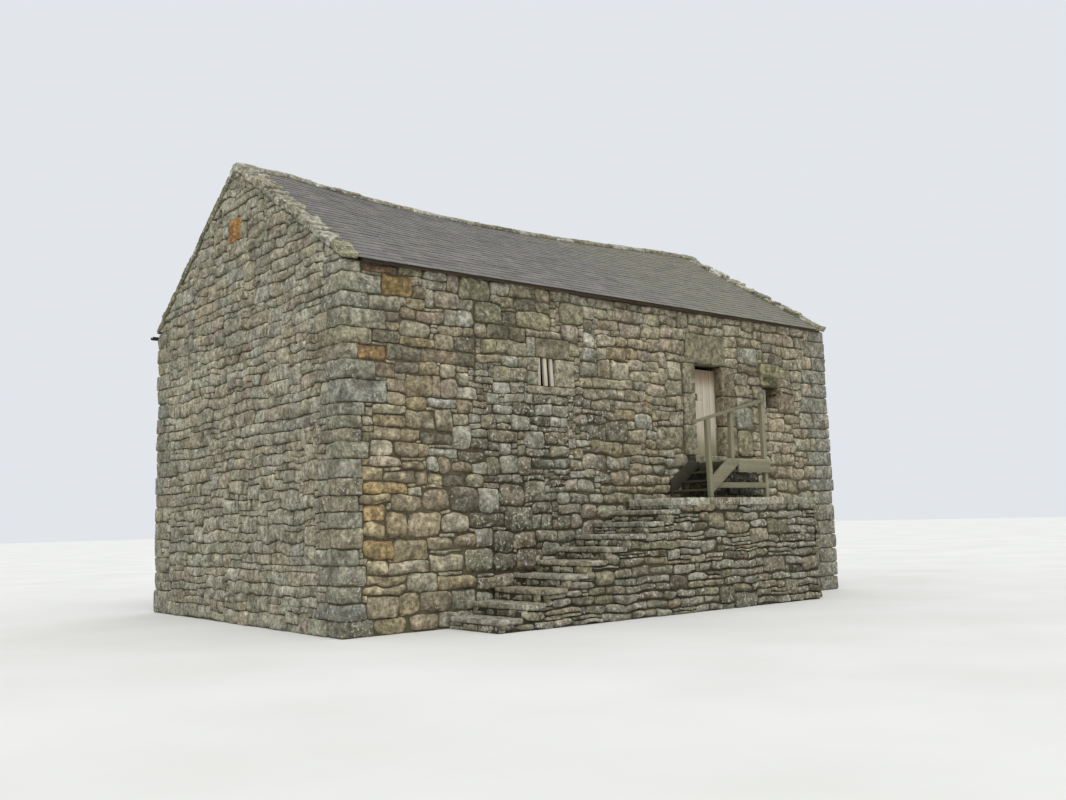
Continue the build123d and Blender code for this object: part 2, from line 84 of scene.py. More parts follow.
# Widths of upright joints and of beds
JOINT = (0.001, 0.003)
DRY_JOINT = (0.003, 0.012)
ROWS = 114
ROW = WALL_HEAD / ROWS
FRONT_COLUMNS = 200
FRONT_COLUMN = LENGTH / FRONT_COLUMNS
GABLE_COLUMNS = 126
GABLE_COLUMN = WIDTH / GABLE_COLUMNS
# Usual sizes of a stone in columns and rows, and the share of stones that are small pinnings
STONE_WIDTHS = (3, 10)
STONE_HEIGHTS = (3, 6)
PINNINGS = 0.1
# Shares of the stones of a coursed wall that are two courses high, and that lie in thin pairs
JUMPERS = 0.1
THIN_PAIRS = 0.14
# Spacing of the points of an outline, on the walls that are seen from near and on the others
FINE = 0.075
PLAIN = 0.12
# Roundness of stones on the walls other than the front, and the most that loosens an outline
SQUARED = 0.7
MOST_SLACK = 1.15
# Narrower stones are left out
SLIVER = 0.028
# How far stones of the rubble stand back or out, and how far back the small pinnings stand
STANDING = (-0.018, 0.014)
PINNING_RECESS = 0.012
# How far the right gable stands out at its foot
RIGHT_BATTER = 0.07
# Painted light and shade: how much darker the foot of a stone is painted than its head, as if lit from above
PAINTED_TOP_LIGHT = (0.1, 0.55)
# Brightness of the other walls' rubble, the quoins and the dressed stones against their kinds
GABLE_SHADE = 1.13
QUOIN_SHADE = 0.86
DRESSED_SHADE = 0.84
# An old corner in the front's masonry, with a crack beside it: its column, bottom and top row
STRAIGHT_JOINT = (41, 80, 101)
CRACK = 0.02
# Parts of the front with sizes of their own: left and right column, bottom and top row, widths, heights
SMALL_STONES = (34, 92, 46, 84, (2, 7), (2, 5))
FOOTING_STONES = (0, 200, 0, 27, (6, 13), (5, 8))

# Roof
PITCH = math.radians(32.3)
SLOPE = math.tan(PITCH)
SLATE_SHEET = 0.07
EAVE_OVERHANG = 0.08
RIDGE_SAG = 0.195
SAG_SKEW = 0.85
SKEW_WIDTH = 0.33
SKEW_TAPER = 0.07
SLATES_START = SKEW_WIDTH - SKEW_TAPER - 0.035
SLATE_COURSES = 29
SLATE_WIDTHS = (0.17, 0.30)
SLATE_GAP = 0.004
SLATE_TAIL = 0.006
SLATE_TILT = 0.008
SLATE_LAP = 0.05
NARROWEST_SLATE = 0.04
# Share by which the lowest course is longer than the mean, and the top one shorter
SLATE_NARROWING = 0.12
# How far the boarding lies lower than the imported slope, and is drawn back at the eave
BOARDING_DROP = 0.03
EAVE_SETBACK = 0.04


def srgb(red, green, blue):
    """Linear colour of one that is written as it looks, each part from 0 to 255."""
    parts = []
    for part in (red, green, blue):
        share = part / 255
        parts.append(share / 12.92 if share <= 0.04045 else ((share + 0.055) / 1.055) ** 2.4)
    return np.array(parts)


STONES = {
    "grey_green": srgb(146, 143, 125),
    "buff": srgb(150, 143, 121),
    "tan": srgb(147, 136, 112),
    "pink": srgb(149, 137, 120),
    "ochre": srgb(142, 130, 102),
    "gold": srgb(150, 130, 94),
    "rust": srgb(118, 98, 77),
    "brown": srgb(129, 117, 97),
    "orange": srgb(155, 131, 86),
    "russet": srgb(141, 116, 82),
    "amber": srgb(166, 124, 74),
    "dark": srgb(110, 105, 89),
    "sooty": srgb(92, 87, 73),
    "pale": srgb(164, 161, 146),
    "blue_grey": srgb(141, 140, 128),
    "moss": srgb(134, 130, 104),
    "olive": srgb(126, 119, 97),
}
# Kinds on which little lichen grows
BARE_KINDS = ("orange", "russet", "amber", "gold", "rust")
BARE_LICHEN = 0.1


def smooth(value, start, end):
    """Share from 0 at start to 1 at end, without corners."""
    share = np.clip((value - start) / (end - start), 0, 1)
    return share * share * (3 - 2 * share)


def lattice_noise(points, size, seed):
    """Smooth noise from -1 to 1 at each point, in bumps about size metres across."""
    scaled = np.asarray(points, float) / size + 7.31 * seed
    cell = np.floor(scaled).astype(np.int64)
    share = scaled - cell
    share = share * share * (3 - 2 * share)
    total = np.zeros(len(scaled))
    for corner in range(8):
        step = np.array([corner & 1, corner >> 1 & 1, corner >> 2 & 1])
        key = (cell + step) * np.array([73856093, 19349663, 83492791])
        mixed = (key[:, 0] ^ key[:, 1] ^ key[:, 2]) + seed * 912931
        mixed = (mixed ^ (mixed >> 13)) * 1274126177 & 0x7FFFFFFF
        value = (mixed ^ (mixed >> 16)) % 20011 / 10005 - 1
        weight = np.where(step == 1, share, 1 - share).prod(axis=1)
        total += value * weight
    return total


def rough(points, size, seed):
    """Noise in two sizes of bumps."""
    return 0.7 * lattice_noise(points, size, seed) + 0.3 * lattice_noise(points, size / 2.7, seed + 1)


def new_object(name, data):
    """Object for a mesh, a lamp or the camera, in the scene."""
    made = bpy.data.objects.new(name, data)
    bpy.context.scene.collection.objects.link(made)
    return made


def place_piece(name, mesh, material, replaces=()):
    """Puts a mesh of one material into the scene as a piece of the house."""
    mesh.materials.clear()
    mesh.materials.append(material)
    made = new_object(name, mesh)
    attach(made, "root")
    if replaces:
        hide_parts(*replaces)


class Piece:
    """One joined mesh, with the values that its material reads at each vertex.

    tint is a stone's or board's own colour, with painted light and shade multiplied into it on some
    pieces. state holds wear (0 in a joint, 1 on a face; the stone and slate materials paint low wear
    darker, as dirt and shade), lichen (how much grows there), a number of the stone's own, and moss. grain
    runs along a board.
    """

    def __init__(self, name):
        self.name = name
        self.vertices = []
        self.faces = []
        self.tints = []
        self.states = []
        self.grains = []
        self.count = 0

    def add(self, vertices, faces, tint, wear=1.0, lichen=0.3, moss=0.0, grain=None):
        """Adds one stone or board; faces are groups with as many corners each."""
        size = len(vertices)
        own = RNG.random()
        self.vertices.append(np.asarray(vertices, float))
        for group in faces:
            self.faces += (np.asarray(group) + self.count).tolist()
        self.tints.append(np.column_stack([np.broadcast_to(tint, (size, 3)), np.ones(size)]))
        state = np.empty((size, 4))
        for k, value in enumerate((wear, lichen, own, moss)):
            state[:, k] = value
        self.states.append(state)
        self.grains.append(np.zeros((size, 3)) if grain is None else grain)
        self.count += size

    def build(self, material, flat=False, replaces=()):
        """Makes the mesh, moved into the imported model's frame, and puts it into the scene."""
        mesh = bpy.data.meshes.new(self.name)
        points = np.vstack(self.vertices) + CORNER
        points[:, 2] = np.maximum(points[:, 2], 0.0)
        mesh.from_pydata(points.tolist(), [], self.faces)
        values = (
            ("tint", "FLOAT_COLOR", "color", self.tints),
            ("state", "FLOAT_COLOR", "color", self.states),
            ("grain", "FLOAT_VECTOR", "vector", self.grains),
        )
        for label, kind, field, parts in values:
            layer = mesh.attributes.new(label, kind, "POINT")
            layer.data.foreach_set(field, np.vstack(parts).astype(np.float32).ravel())
        mesh.polygons.foreach_set("use_smooth", [not flat] * len(mesh.polygons))
        mesh.update()
        place_piece(self.name, mesh, material, replaces)


# Materials


class Nodes:
    """A node tree, with short calls for the nodes used here."""

    def __init__(self, tree):
        self.tree = tree
        self.tree.nodes.clear()

    def link(self, source, target):
        """Links a node's output to a socket, or sets the socket to a number or colour."""
        if isinstance(source, (int, float)):
            target.default_value = source
        elif isinstance(source, (tuple, np.ndarray)):
            target.default_value = [*source, 1.0][: len(target.default_value)]
        else:
            self.tree.links.new(source, target)

    def add(self, kind, inputs=(), **settings):
        """New node; its inputs are given in order, or by name or number."""
        node = self.tree.nodes.new("ShaderNode" + kind)
        for name, value in settings.items():
            setattr(node, name, value)
        for key, source in inputs.items() if isinstance(inputs, dict) else enumerate(inputs):
            self.link(source, node.inputs[key])
        return node

    def math(self, operation, first, second):
        return self.add("Math", (first, second), operation=operation).outputs[0]


class Shader(Nodes):
    """A material's nodes."""

    def __init__(self, name):
        self.material = bpy.data.materials.new(name)
        self.material.use_nodes = True
        super().__init__(self.material.node_tree)
        self.surface = self.add("BsdfPrincipled")
        self.add("OutputMaterial", (self.surface.outputs[0],))
        self.place = self.add("TexCoord").outputs["Object"]

    def plus(self, first, second):
        return self.math("ADD", first, second)

    def times(self, first, second):
        return self.math("MULTIPLY", first, second)

    def attribute(self, name):
        return self.add("Attribute", attribute_name=name).outputs

    def parts(self, colour):
        return self.add("SeparateColor", (colour,)).outputs

    def values(self):
        """A piece's tint, wear, lichen, number of its own and moss."""
        state = self.attribute("state")
        return self.attribute("tint")["Color"], *self.parts(state["Color"]), state["Alpha"]

    def stretched(self, vector, scale):
        return self.add("VectorMath", (vector, scale), operation="MULTIPLY").outputs[0]

    def noise(self, scale, detail=4.0, roughness=0.6, vector=None, bend=0.0):
        inputs = {
            "Vector": self.place if vector is None else vector,
            "Scale": scale,
            "Detail": detail,
            "Roughness": roughness,
            "Distortion": bend,
        }
        return self.add("TexNoise", inputs).outputs["Fac"]

    def cells(self, scale):
        return self.add("TexVoronoi", {"Vector": self.place, "Scale": scale}).outputs["Distance"]

    def spread(self, value, low, high, to_low=0.0, to_high=1.0):
        """A value moved from one range to another, and held inside that."""
        return self.add("MapRange", (value, low, high, to_low, to_high)).outputs[0]

    def mix(self, share, first, second, blend="MIX"):
        sockets = {"Factor": share, 6: first, 7: second}
        return self.add("Mix", sockets, data_type="RGBA", blend_type=blend).outputs[2]

    def shaded(self, colour, value, low, high, dark, light):
        """A colour made dark where the value is low and light where it is high."""
        grey = self.add("CombineColor", (self.spread(value, low, high, dark, light),) * 3)
        return self.mix(1.0, colour, grey.outputs[0], "MULTIPLY")

    def bump(self, height, distance, normal=None):
        inputs = {"Height": height, "Distance": distance, "Strength": 1.0}
        if normal is not None:
            inputs["Normal"] = normal
        return self.add("Bump", inputs).outputs[0]

    def finish(self, colour, normal, roughness, specular):
        """Links what the surface is made of, and gives back the material."""
        inputs = {
            "Base Color": colour,
            "Normal": normal,
            "Roughness": roughness,
            "Specular IOR Level": specular,
        }
        for name, source in inputs.items():
            self.link(source, self.surface.inputs[name])
        return self.material


CRUST = srgb(190, 188, 175)
CRUST_GREEN = srgb(158, 156, 137)
ALGAE = srgb(82, 77, 62)
JOINT_DIRT_AND_SHADE = srgb(56, 50, 38)
MOSS = srgb(106, 106, 66)
DUST = srgb(104, 99, 82)
SLATE_LICHEN = srgb(172, 172, 160)
SLATE_MOSS = srgb(121, 120, 93)
SLATE_UNDERSIDE_SHADE = srgb(70, 66, 62)
WOOD_LICHEN = srgb(168, 170, 150)
OLD_WOOD = (srgb(64, 55, 46), srgb(100, 88, 74))
PAINT = srgb(240, 237, 224)
BARE_WOOD = srgb(150, 138, 120)
PAINT_DIRT = srgb(150, 146, 130)
IRON = srgb(38, 38, 39)
RUST = srgb(92, 56, 36)


def stone_material(name, crust=1.0, grain=1.0, stain=1.0):
    """Weathered sandstone: mottled stone, pale and greenish crusts of lichen, algae and dirt, with painted
    shade in the open joints.
    """
    shader = Shader(name)
    colour, wear, lichen, own, moss = shader.values()
    offset = shader.add("CombineXYZ", (shader.times(own, 9.0),)).outputs[0]
    place = shader.add("VectorMath", (shader.place, offset), operation="ADD").outputs[0]

    mottle = shader.noise(21.0, 8.0, 0.7, place)
    speck = shader.noise(120.0, 3.0, 0.7)
    blotches = (
        (shader.noise(6.0, 5.0, 0.6, place), 0.36, 0.78, 1.22),
        (shader.noise(0.9, 5.0, 0.6), 0.36, 0.84, 1.16),
        (shader.noise(13.0, 6.0, 0.62), 0.38, 0.6, 1.36),
        (mottle, 0.36, 0.6, 1.36),
        (speck, 0.36, 0.86, 1.14),
    )
    for pattern, low, dark, light in blotches:
        colour = shader.shaded(colour, pattern, low, 1 - low, dark, light)

    algae = shader.plus(shader.noise(3.1, 8.0, 0.7), shader.spread(lichen, 0.5, 1.0, 0.0, 0.06))
    colour = shader.mix(shader.spread(algae, 0.51, 0.6, 0.0, 0.55 * stain), colour, ALGAE)

    film = shader.plus(shader.noise(8.0, 9.0, 0.78, bend=0.4), shader.spread(lichen, 0.0, 1.0, -0.12, 0.02))
    film = shader.spread(film, 0.49, 0.58, 0.0, 0.5 * crust)
    colour = shader.mix(film, colour, CRUST_GREEN)
    spots = shader.spread(shader.noise(20.0, 6.0, 0.55, bend=0.3), 0.57, 0.62)
    patch = shader.plus(shader.noise(4.3, 4.0, 0.6), shader.spread(lichen, 0.0, 1.0, -0.2, 0.2))
    patch = shader.spread(patch, 0.47, 0.62, 0.0, 0.85 * crust)
    colour = shader.mix(shader.times(spots, patch), colour, CRUST)

    cushion = shader.plus(shader.noise(14.0, 8.0, 0.7), shader.spread(moss, 0.0, 1.0, -0.4, 0.2))
    colour = shader.mix(shader.spread(cushion, 0.5, 0.56, 0.0, 0.9), colour, MOSS)
    # Joint dirt and painted shade: darker where wear is low, at the stone's edges and most in open, deep
    # joints
    dirt = shader.plus(wear, shader.spread(mottle, 0.36, 0.64, -0.3, 0.3))
    dirt = shader.spread(dirt, -0.15, 0.45, 1.0, 0.0)
    dirt = shader.times(dirt, shader.spread(shader.noise(1.7, 4.0, 0.6), 0.4, 0.6, 0.3, 0.87))
    dirt = shader.times(dirt, shader.spread(lichen, 0.3, 0.9, 0.75, 1.05))
    colour = shader.mix(dirt, colour, JOINT_DIRT_AND_SHADE)

    coarse = shader.bump(shader.noise(9.0, 6.0, 0.62, place), 0.03 * grain)
    fine = shader.bump(mottle, 0.016 * grain, coarse)
    crumbs = shader.bump(shader.plus(speck, shader.times(film, 0.3)), 0.003 * grain, fine)
    return shader.finish(colour, crumbs, 0.92, 0.15)


def mortar_material(name, dark, light, stained):
    """Old earth and lime between the stones, darkened by stained in the damp middle of the front."""
    shader = Shader(name)
    clod = shader.noise(19.0, 8.0, 0.7)
    colour = shader.mix(shader.spread(clod, 0.35, 0.65), dark, light)
    colour = shader.mix(shader.spread(shader.noise(2.0), 0.4, 0.65, 0.0, 0.4), colour, DUST)
    x, y, z = shader.parts(shader.place)
    damp = shader.times(shader.spread(x, -3.7, -3.0), shader.spread(x, -0.5, -1.9))
    damp = shader.times(damp, shader.spread(z, 3.9, 3.3))
    colour = shader.shaded(colour, damp, 0.0, 1.0, 1.0, stained)
    return shader.finish(colour, shader.bump(clod, 0.02), 0.95, 0.1)


def slate_material(name):
    """Stone slates with dull faces, rain streaks, small lichens and moss, and painted shade under their
    tails.
    """
    shader = Shader(name)
    colour, wear, _, _, moss = shader.values()
    streak = shader.noise(1.0, 6.0, 0.65, shader.stretched(shader.place, (34.0, 6.0, 6.0)))
    speck = shader.noise(70.0, 6.0, 0.7)
    for pattern, change in ((shader.noise(1.6, 5.0, 0.6), 0.14), (streak, 0.16), (speck, 0.2)):
        colour = shader.shaded(colour, pattern, 0.3, 0.7, 1 - change, 1 + change)
    dots = shader.plus(shader.cells(17.0), shader.spread(speck, 0.3, 0.7, -0.06, 0.06))
    dots = shader.spread(dots, 0.16, 0.2, 0.6, 0.0)
    dots = shader.times(dots, shader.spread(shader.noise(2.6), 0.48, 0.6))
    colour = shader.mix(dots, colour, SLATE_LICHEN)
    growth = shader.plus(shader.noise(7.0, 9.0, 0.75), shader.spread(moss, 0.0, 1.0, -0.3, 0.17))
    colour = shader.mix(shader.spread(growth, 0.5, 0.6, 0.0, 0.7), colour, SLATE_MOSS)
    # Painted shade on the slates' tails and undersides, where wear is low
    colour = shader.mix(shader.spread(wear, 0.0, 0.6, 0.5, 0.0), colour, SLATE_UNDERSIDE_SHADE)
    grain = shader.bump(shader.plus(streak, shader.times(speck, 0.7)), 0.004)
    return shader.finish(colour, grain, 0.72, 0.3)


def timber_material(name, dull, fresh, growth=None):
    """Weathered timber whose grain follows the board, with green film where growth is given."""
    shader = Shader(name)
    along = shader.attribute("grain")["Vector"]
    fibre = shader.noise(1.0, 7.0, 0.7, shader.stretched(along, (2.2, 95.0, 95.0)), 0.5)
    band = shader.noise(1.0, 3.0, 0.5, shader.stretched(along, (0.8, 11.0, 11.0)), 0.3)
    colour = shader.mix(shader.spread(band, 0.25, 0.75), dull, fresh)
    colour = shader.shaded(colour, fibre, 0.3, 0.7, 0.74, 1.2)
    if growth is not None:
        film = shader.noise(9.0, 9.0, 0.75)
        colour = shader.mix(shader.spread(film, 0.42, 0.58, 0.0, 0.5), colour, growth)
        spots = shader.spread(shader.cells(55.0), 0.2, 0.27, 0.55, 0.0)
        spots = shader.times(spots, shader.spread(shader.noise(5.0), 0.5, 0.6))
        colour = shader.mix(spots, colour, WOOD_LICHEN)
    colour = shader.mix(1.0, colour, shader.attribute("tint")["Color"], "MULTIPLY")
    return shader.finish(colour, shader.bump(fibre, 0.004), 0.85, 0.2)


def beam_material(name, axis):
    """Old timber of the roof and floor, with its grain along one axis of the house."""
    shader = Shader(name)
    scale = [60.0, 60.0, 60.0]
    scale[axis] = 1.6
    fibre = shader.noise(1.0, 7.0, 0.7, shader.stretched(shader.place, tuple(scale)), 0.6)
    colour = shader.mix(shader.spread(fibre, 0.3, 0.7), *OLD_WOOD)
    colour = shader.shaded(colour, shader.noise(1.4, 5.0, 0.6), 0.3, 0.7, 0.75, 1.2)
    return shader.finish(colour, shader.bump(fibre, 0.005), 0.85, 0.2)


def paint_material(name):
    """White paint, chipped and dirty, on timber."""
    shader = Shader(name)
    chips = shader.noise(30.0, 9.0, 0.75)
    colour = shader.mix(shader.spread(chips, 0.6, 0.64), PAINT, BARE_WOOD)
    dirt = shader.spread(shader.noise(6.0, 6.0, 0.7), 0.4, 0.7, 0.0, 0.2)
    colour = shader.mix(dirt, colour, PAINT_DIRT)
    return shader.finish(colour, shader.bump(chips, 0.001), 0.6, 0.35)


def iron_material(name):
    """Cast iron with worn black paint and rust."""
    shader = Shader(name)
    rust = shader.noise(11.0, 9.0, 0.75)
    colour = shader.mix(shader.spread(rust, 0.56, 0.66), IRON, RUST)
    return shader.finish(colour, shader.bump(rust, 0.0015), 0.62, 0.4)


rubble = stone_material("rubble_stone")
drystone = stone_material("drystone_stone", crust=1.1, grain=0.9)
dressed = stone_material("dressed_sandstone", crust=0.7, grain=0.6, stain=0.7)
flags = stone_material("flag_stone", crust=1.1, grain=0.7)
coping = stone_material("coping_sandstone", crust=1.2, grain=1.1, stain=1.2)
mortar = mortar_material("earth_mortar", srgb(62, 56, 43), srgb(108, 100, 80), 0.6)
# The forestair's core is near black: packing whose colour is a painted shadow in the open joints between the
# dry-laid stones
packing_shadow = mortar_material("dark_packing", srgb(40, 37, 29), srgb(72, 67, 54), 1.0)
slate = slate_material("stone_slate")
stair_wood = timber_material(
    "weathered_stair_timber", srgb(120, 114, 94), srgb(152, 147, 124), srgb(142, 143, 110)
)
door_wood = timber_material("bleached_door_boards", srgb(181, 170, 152), srgb(209, 200, 184))
floor_wood = timber_material("floor_boards", srgb(96, 74, 52), srgb(134, 110, 82))
roof_wood_x = beam_material("roof_timber_long", 0)
roof_wood_y = beam_material("roof_timber_cross", 1)
paint = paint_material("old_white_paint")
iron = iron_material("black_cast_iron")


# Blocks

# How far from a block's edges its wear reaches
EDGE_WEAR = 0.03


def islands(node):
    """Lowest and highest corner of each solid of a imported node, from the house's corner."""
    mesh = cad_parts[node].data
    points = np.array([v.co[:] for v in mesh.vertices]) - CORNER
    merged = np.unique(np.round(points, 4), axis=0, return_inverse=True)[1].reshape(-1)
    group = list(range(merged.max() + 1))

    def root(item):
        while group[item] != item:
            group[item] = group[group[item]]
            item = group[item]
        return item

    for edge in mesh.edges:
        first, second = (root(merged[v]) for v in edge.vertices)
        group[first] = second
    owners = np.array([root(item) for item in merged])
    found = [points[owners == owner] for owner in np.unique(owners)]
    boxes = [(part.min(axis=0), part.max(axis=0)) for part in found]
    return sorted(boxes, key=lambda box: tuple(np.round(box[0], 3)))


def marks(low, high, radius, step):
    """Places along one side of a block, close together where it is rounded."""
    span = high - low - 2 * radius
    inner = np.linspace(low + radius, high - radius, max(1, round(span / step)) + 1)
    ends = radius * np.array([0.0, 0.3, 0.65] if radius > 0.01 else [0.0, 0.4])
    return np.concatenate([low + ends, inner, (high - ends)[::-1]])


def worn_block(low, high, radius=0.02, step=0.09, swell=0.004, size=0.15):
    """Block with rounded edges and an uneven surface: vertices, faces, and wear at each vertex."""
    low = np.asarray(low, float)
    high = np.asarray(high, float)
    radius = min(radius, 0.45 * (high - low).min())
    axes = [marks(low[a], high[a], radius, step) for a in range(3)]
    last = [len(axis) - 1 for axis in axes]
    index = {}

    def vertex(key):
        return index.setdefault(key, len(index))

    faces = []
    for normal in range(3):
        one, two = (normal + 1) % 3, (normal + 2) % 3
        for side in (0, last[normal]):
            for i in range(last[one]):
                for j in range(last[two]):
                    ring = []
                    for di, dj in ((0, 0), (1, 0), (1, 1), (0, 1)):
                        key = [0, 0, 0]
                        key[normal], key[one], key[two] = side, i + di, j + dj
                        ring.append(vertex(tuple(key)))
                    faces.append(ring if side else ring[::-1])
    keys = np.array(list(index))
    points = np.stack([axes[a][keys[:, a]] for a in range(3)], axis=1)
    core = np.clip(points, low + radius, high - radius)
    away = points - core
    away /= np.linalg.norm(away, axis=1)[:, None]
    points = core + away * radius
    points += away * (swell * rough(points, size, RNG.randrange(1, 5000)))[:, None]
    edge = np.sort(np.minimum(points - low, high - points), axis=1)[:, 1]
    return points, [faces], np.clip(edge / EDGE_WEAR, 0.0, 1.0)


def varied(colour):
    """A stone's colour, a little lighter or darker and warmer or cooler than its kind."""
    return colour * RNG.uniform(0.9, 1.1) * np.array([RNG.uniform(0.98, 1.02), 1.0, RNG.uniform(0.96, 1.04)])


def choose(weights):
    """Colour drawn from the named stones by weight, a little lighter or darker than its name."""
    name = RNG.choices(list(weights), list(weights.values()))[0]
    return varied(STONES[name])


# Rubble


def even(value):
    """The same value all over a wall."""
    return lambda along, up: value


class Face:
    """A flat side of the masonry: a corner, the direction along it, and the way it looks."""

    def __init__(self, origin, along, out, batter=0.0):
        self.origin = np.array(origin, float)
        self.along = np.array(along, float)
        self.out = np.array(out, float)
        self.batter = batter

    def place(self, along, up, out):
        """Places of points of the face that stand out by a distance each."""
        push = out + self.batter * np.clip(1 - up / WALL_HEAD, 0, 1)
        points = self.origin + along[:, None] * self.along + push[:, None] * self.out
        points[:, 2] += up
        return points

    def probe(self, outline):
        """Places at which stones beside each other read the same noise, other on each face."""
        return np.column_stack([outline, np.full(len(outline), self.out @ np.array([1.0, 2.0, 0]))])


class Wall:
    """A face in columns and rows of cells, with the cells still free and the boxes of its fixed stones."""

    def __init__(self, face, free, column, row=ROW):
        self.face = face
        self.free = free
        self.column = column
        self.row = row
        self.fixed = []

    def keep_clear(self, left, right, bottom, top):
        """Takes a box out of the free cells, for an opening or a stone with its own place."""
        columns = (np.arange(self.free.shape[1]) + 0.5) * self.column
        rows = (np.arange(self.free.shape[0]) + 0.5) * self.row
        inside = ((rows > bottom) & (rows < top))[:, None] & ((columns > left) & (columns < right))[None, :]
        self.free[inside] = False
        self.fixed.append((left, right, bottom, top))


def free_run(row, start):
    """How many cells of a row are free from start on."""
    taken = np.flatnonzero(~row[start:])
    return int(taken[0]) if len(taken) else len(row) - start


def room_above(clear, i, j, width):
    """How many rows are clear from cell (i, j) upwards over a width."""
    room = 1
    while j + room < len(clear) and room < 3 * STONE_HEIGHTS[1] and clear[j + room, i : i + width].all():
        room += 1
    return room


def drawn(sizes):
    """A number of cells, more often near the middle of its range."""
    return round(RNG.triangular(sizes[0] - 0.4, sizes[1] + 0.4))


def stone_width(free, owner, i, j, run, widths):
    """Width of the next stone, which avoids a joint just above a joint; a few are small pinnings."""
    if run <= widths[0]:
        return run
    if RNG.random() < PINNINGS:
        return 2
    choices = []
    while len(choices) < 8:
        width = min(drawn(widths), run)
        if run - width < widths[0]:
            width = run if run <= widths[1] else run // 2
        end = i + width
        if j == 0 or width == run or end >= free.shape[1]:
            return width
        joints = len(set(owner[j - 1, max(end - 2, 0) : end + 2])) - 1
        joints += 2 * (owner[j - 1, end - 1] != owner[j - 1, end])
        choices.append((joints, width))
        if joints == 0:
            break
    return min(choices)[1]


def stone_height(free, clear, i, j, width, heights):
    """Height of the next stone, level with a neighbour where that is near."""
    room = room_above(clear, i, j, width)
    height = min(drawn(heights), room)
    levels = []
    for side in (i - 1, i + width):
        if 0 <= side < free.shape[1] and not clear[j, side]:
            levels.append(free_run(~clear[:, side], j))
    reach = RNG.choice((1, 2))
    near = [level for level in levels if abs(level - height) <= reach and level >= 2]
    if near:
        height = min(min(near, key=lambda level: abs(level - height)), room)
    if width <= 2:
        return min(room, RNG.randint(2, 3))
    if room - height < heights[0]:
        height = room if room <= heights[1] + 1 else room // 2
    return height


def coursed_height(room, j, beds, heights):
    """Height of the next stone of a coursed wall: up to the next bed, now and then more or less."""
    above = [bed - j for bed in beds if bed > j] + [room, room]
    kind = RNG.random()
    height = above[0]
    if kind < JUMPERS and above[1] <= 1.8 * heights[1]:
        height = above[1]
    elif kind > 1 - THIN_PAIRS and height >= 4:
        height = height // 2
    return min(height, room)


def course_beds(rows, heights):
    """Rows at which the beds of a coursed wall lie."""
    beds = [drawn(heights)]
    while beds[-1] < rows:
        beds.append(beds[-1] + drawn(heights))
    return beds


def fitted(free, left, right, bottom, top):
    """A stone drawn in at the side that is most in the way of others, until it fits or is too small."""
    top = min(top, free.shape[0])
    while right - left >= 2 and top - bottom >= 2:
        box = free[bottom:top, left:right]
        if box.all():
            return left, right, bottom, top
        sides = [box[:, 0].mean(), box[:, -1].mean(), box[0].mean(), box[-1].mean()]
        worst = int(np.argmin(sides))
        left += worst == 0
        right -= worst == 1
        bottom += worst == 2
        top -= worst == 3
    return None


def grown(free, stone, barriers):
    """A chosen stone, widened over strips of free cells too narrow for a stone beside it."""
    left, right, bottom, top = stone
    rows, columns = free.shape

    def narrow(strip, beyond):
        return strip.all() and (beyond is None or beyond.mean() < 0.5)

    for reach in range(2):
        walls = [column for column, first, last in barriers if bottom < last and top > first]
        if left > 0 and left not in walls:
            beyond = free[bottom:top, left - 3] if left > 2 else None
            left -= narrow(free[bottom:top, left - 1], beyond)
        if right < columns and right not in walls:
            beyond = free[bottom:top, right + 2] if right + 2 < columns else None
            right += narrow(free[bottom:top, right], beyond)
        if bottom > 0:
            beyond = free[bottom - 3, left:right] if bottom > 2 else None
            bottom -= narrow(free[bottom - 1, left:right], beyond)
        if top < rows:
            beyond = free[top + 2, left:right] if top + 2 < rows else None
            top += narrow(free[top, left:right], beyond)
    return left, right, bottom, top


def lay_stones(
    free, widths=STONE_WIDTHS, heights=STONE_HEIGHTS, barriers=(), void=False, chosen=(), zones=(),
    coursed=False,
):
    """Fills the free cells of a wall from the bottom up; each stone is (left, right, bottom, top).

    A stone may run up into the void, where the wall is cut off later. The chosen stones are laid
    first, and the others find their places around them.
    """
    beds = course_beds(len(free), heights)
    free = free.copy()
    owner = np.full(free.shape, -1)
    stones = []

    def lay(left, right, bottom, top):
        free[bottom:top, left:right] = False
        owner[bottom:top, left:right] = len(stones)
        stones.append((left, right, bottom, top))

    for stone in chosen:
        lay(*stone)
    for j in range(free.shape[0]):
        i = 0
        while i < free.shape[1]:
            if not free[j, i]:
                i += 1
                continue
            run = free_run(free[j], i)
            for column, first, last in barriers:
                if i < column < i + run and first <= j < last:
                    run = column - i
            wide, high = widths, heights
            for left, right, bottom, top, *sizes in zones:
                if left <= i < right and bottom <= j < top:
                    wide, high = sizes
            width = stone_width(free, owner, i, j, run, wide)
            if coursed:
                height = coursed_height(room_above(free | void, i, j, width), j, beds, heights)
            else:
                height = stone_height(free, free | void, i, j, width, high)
            lay(i, i + width, j, j + height)
            i += width
    return stones


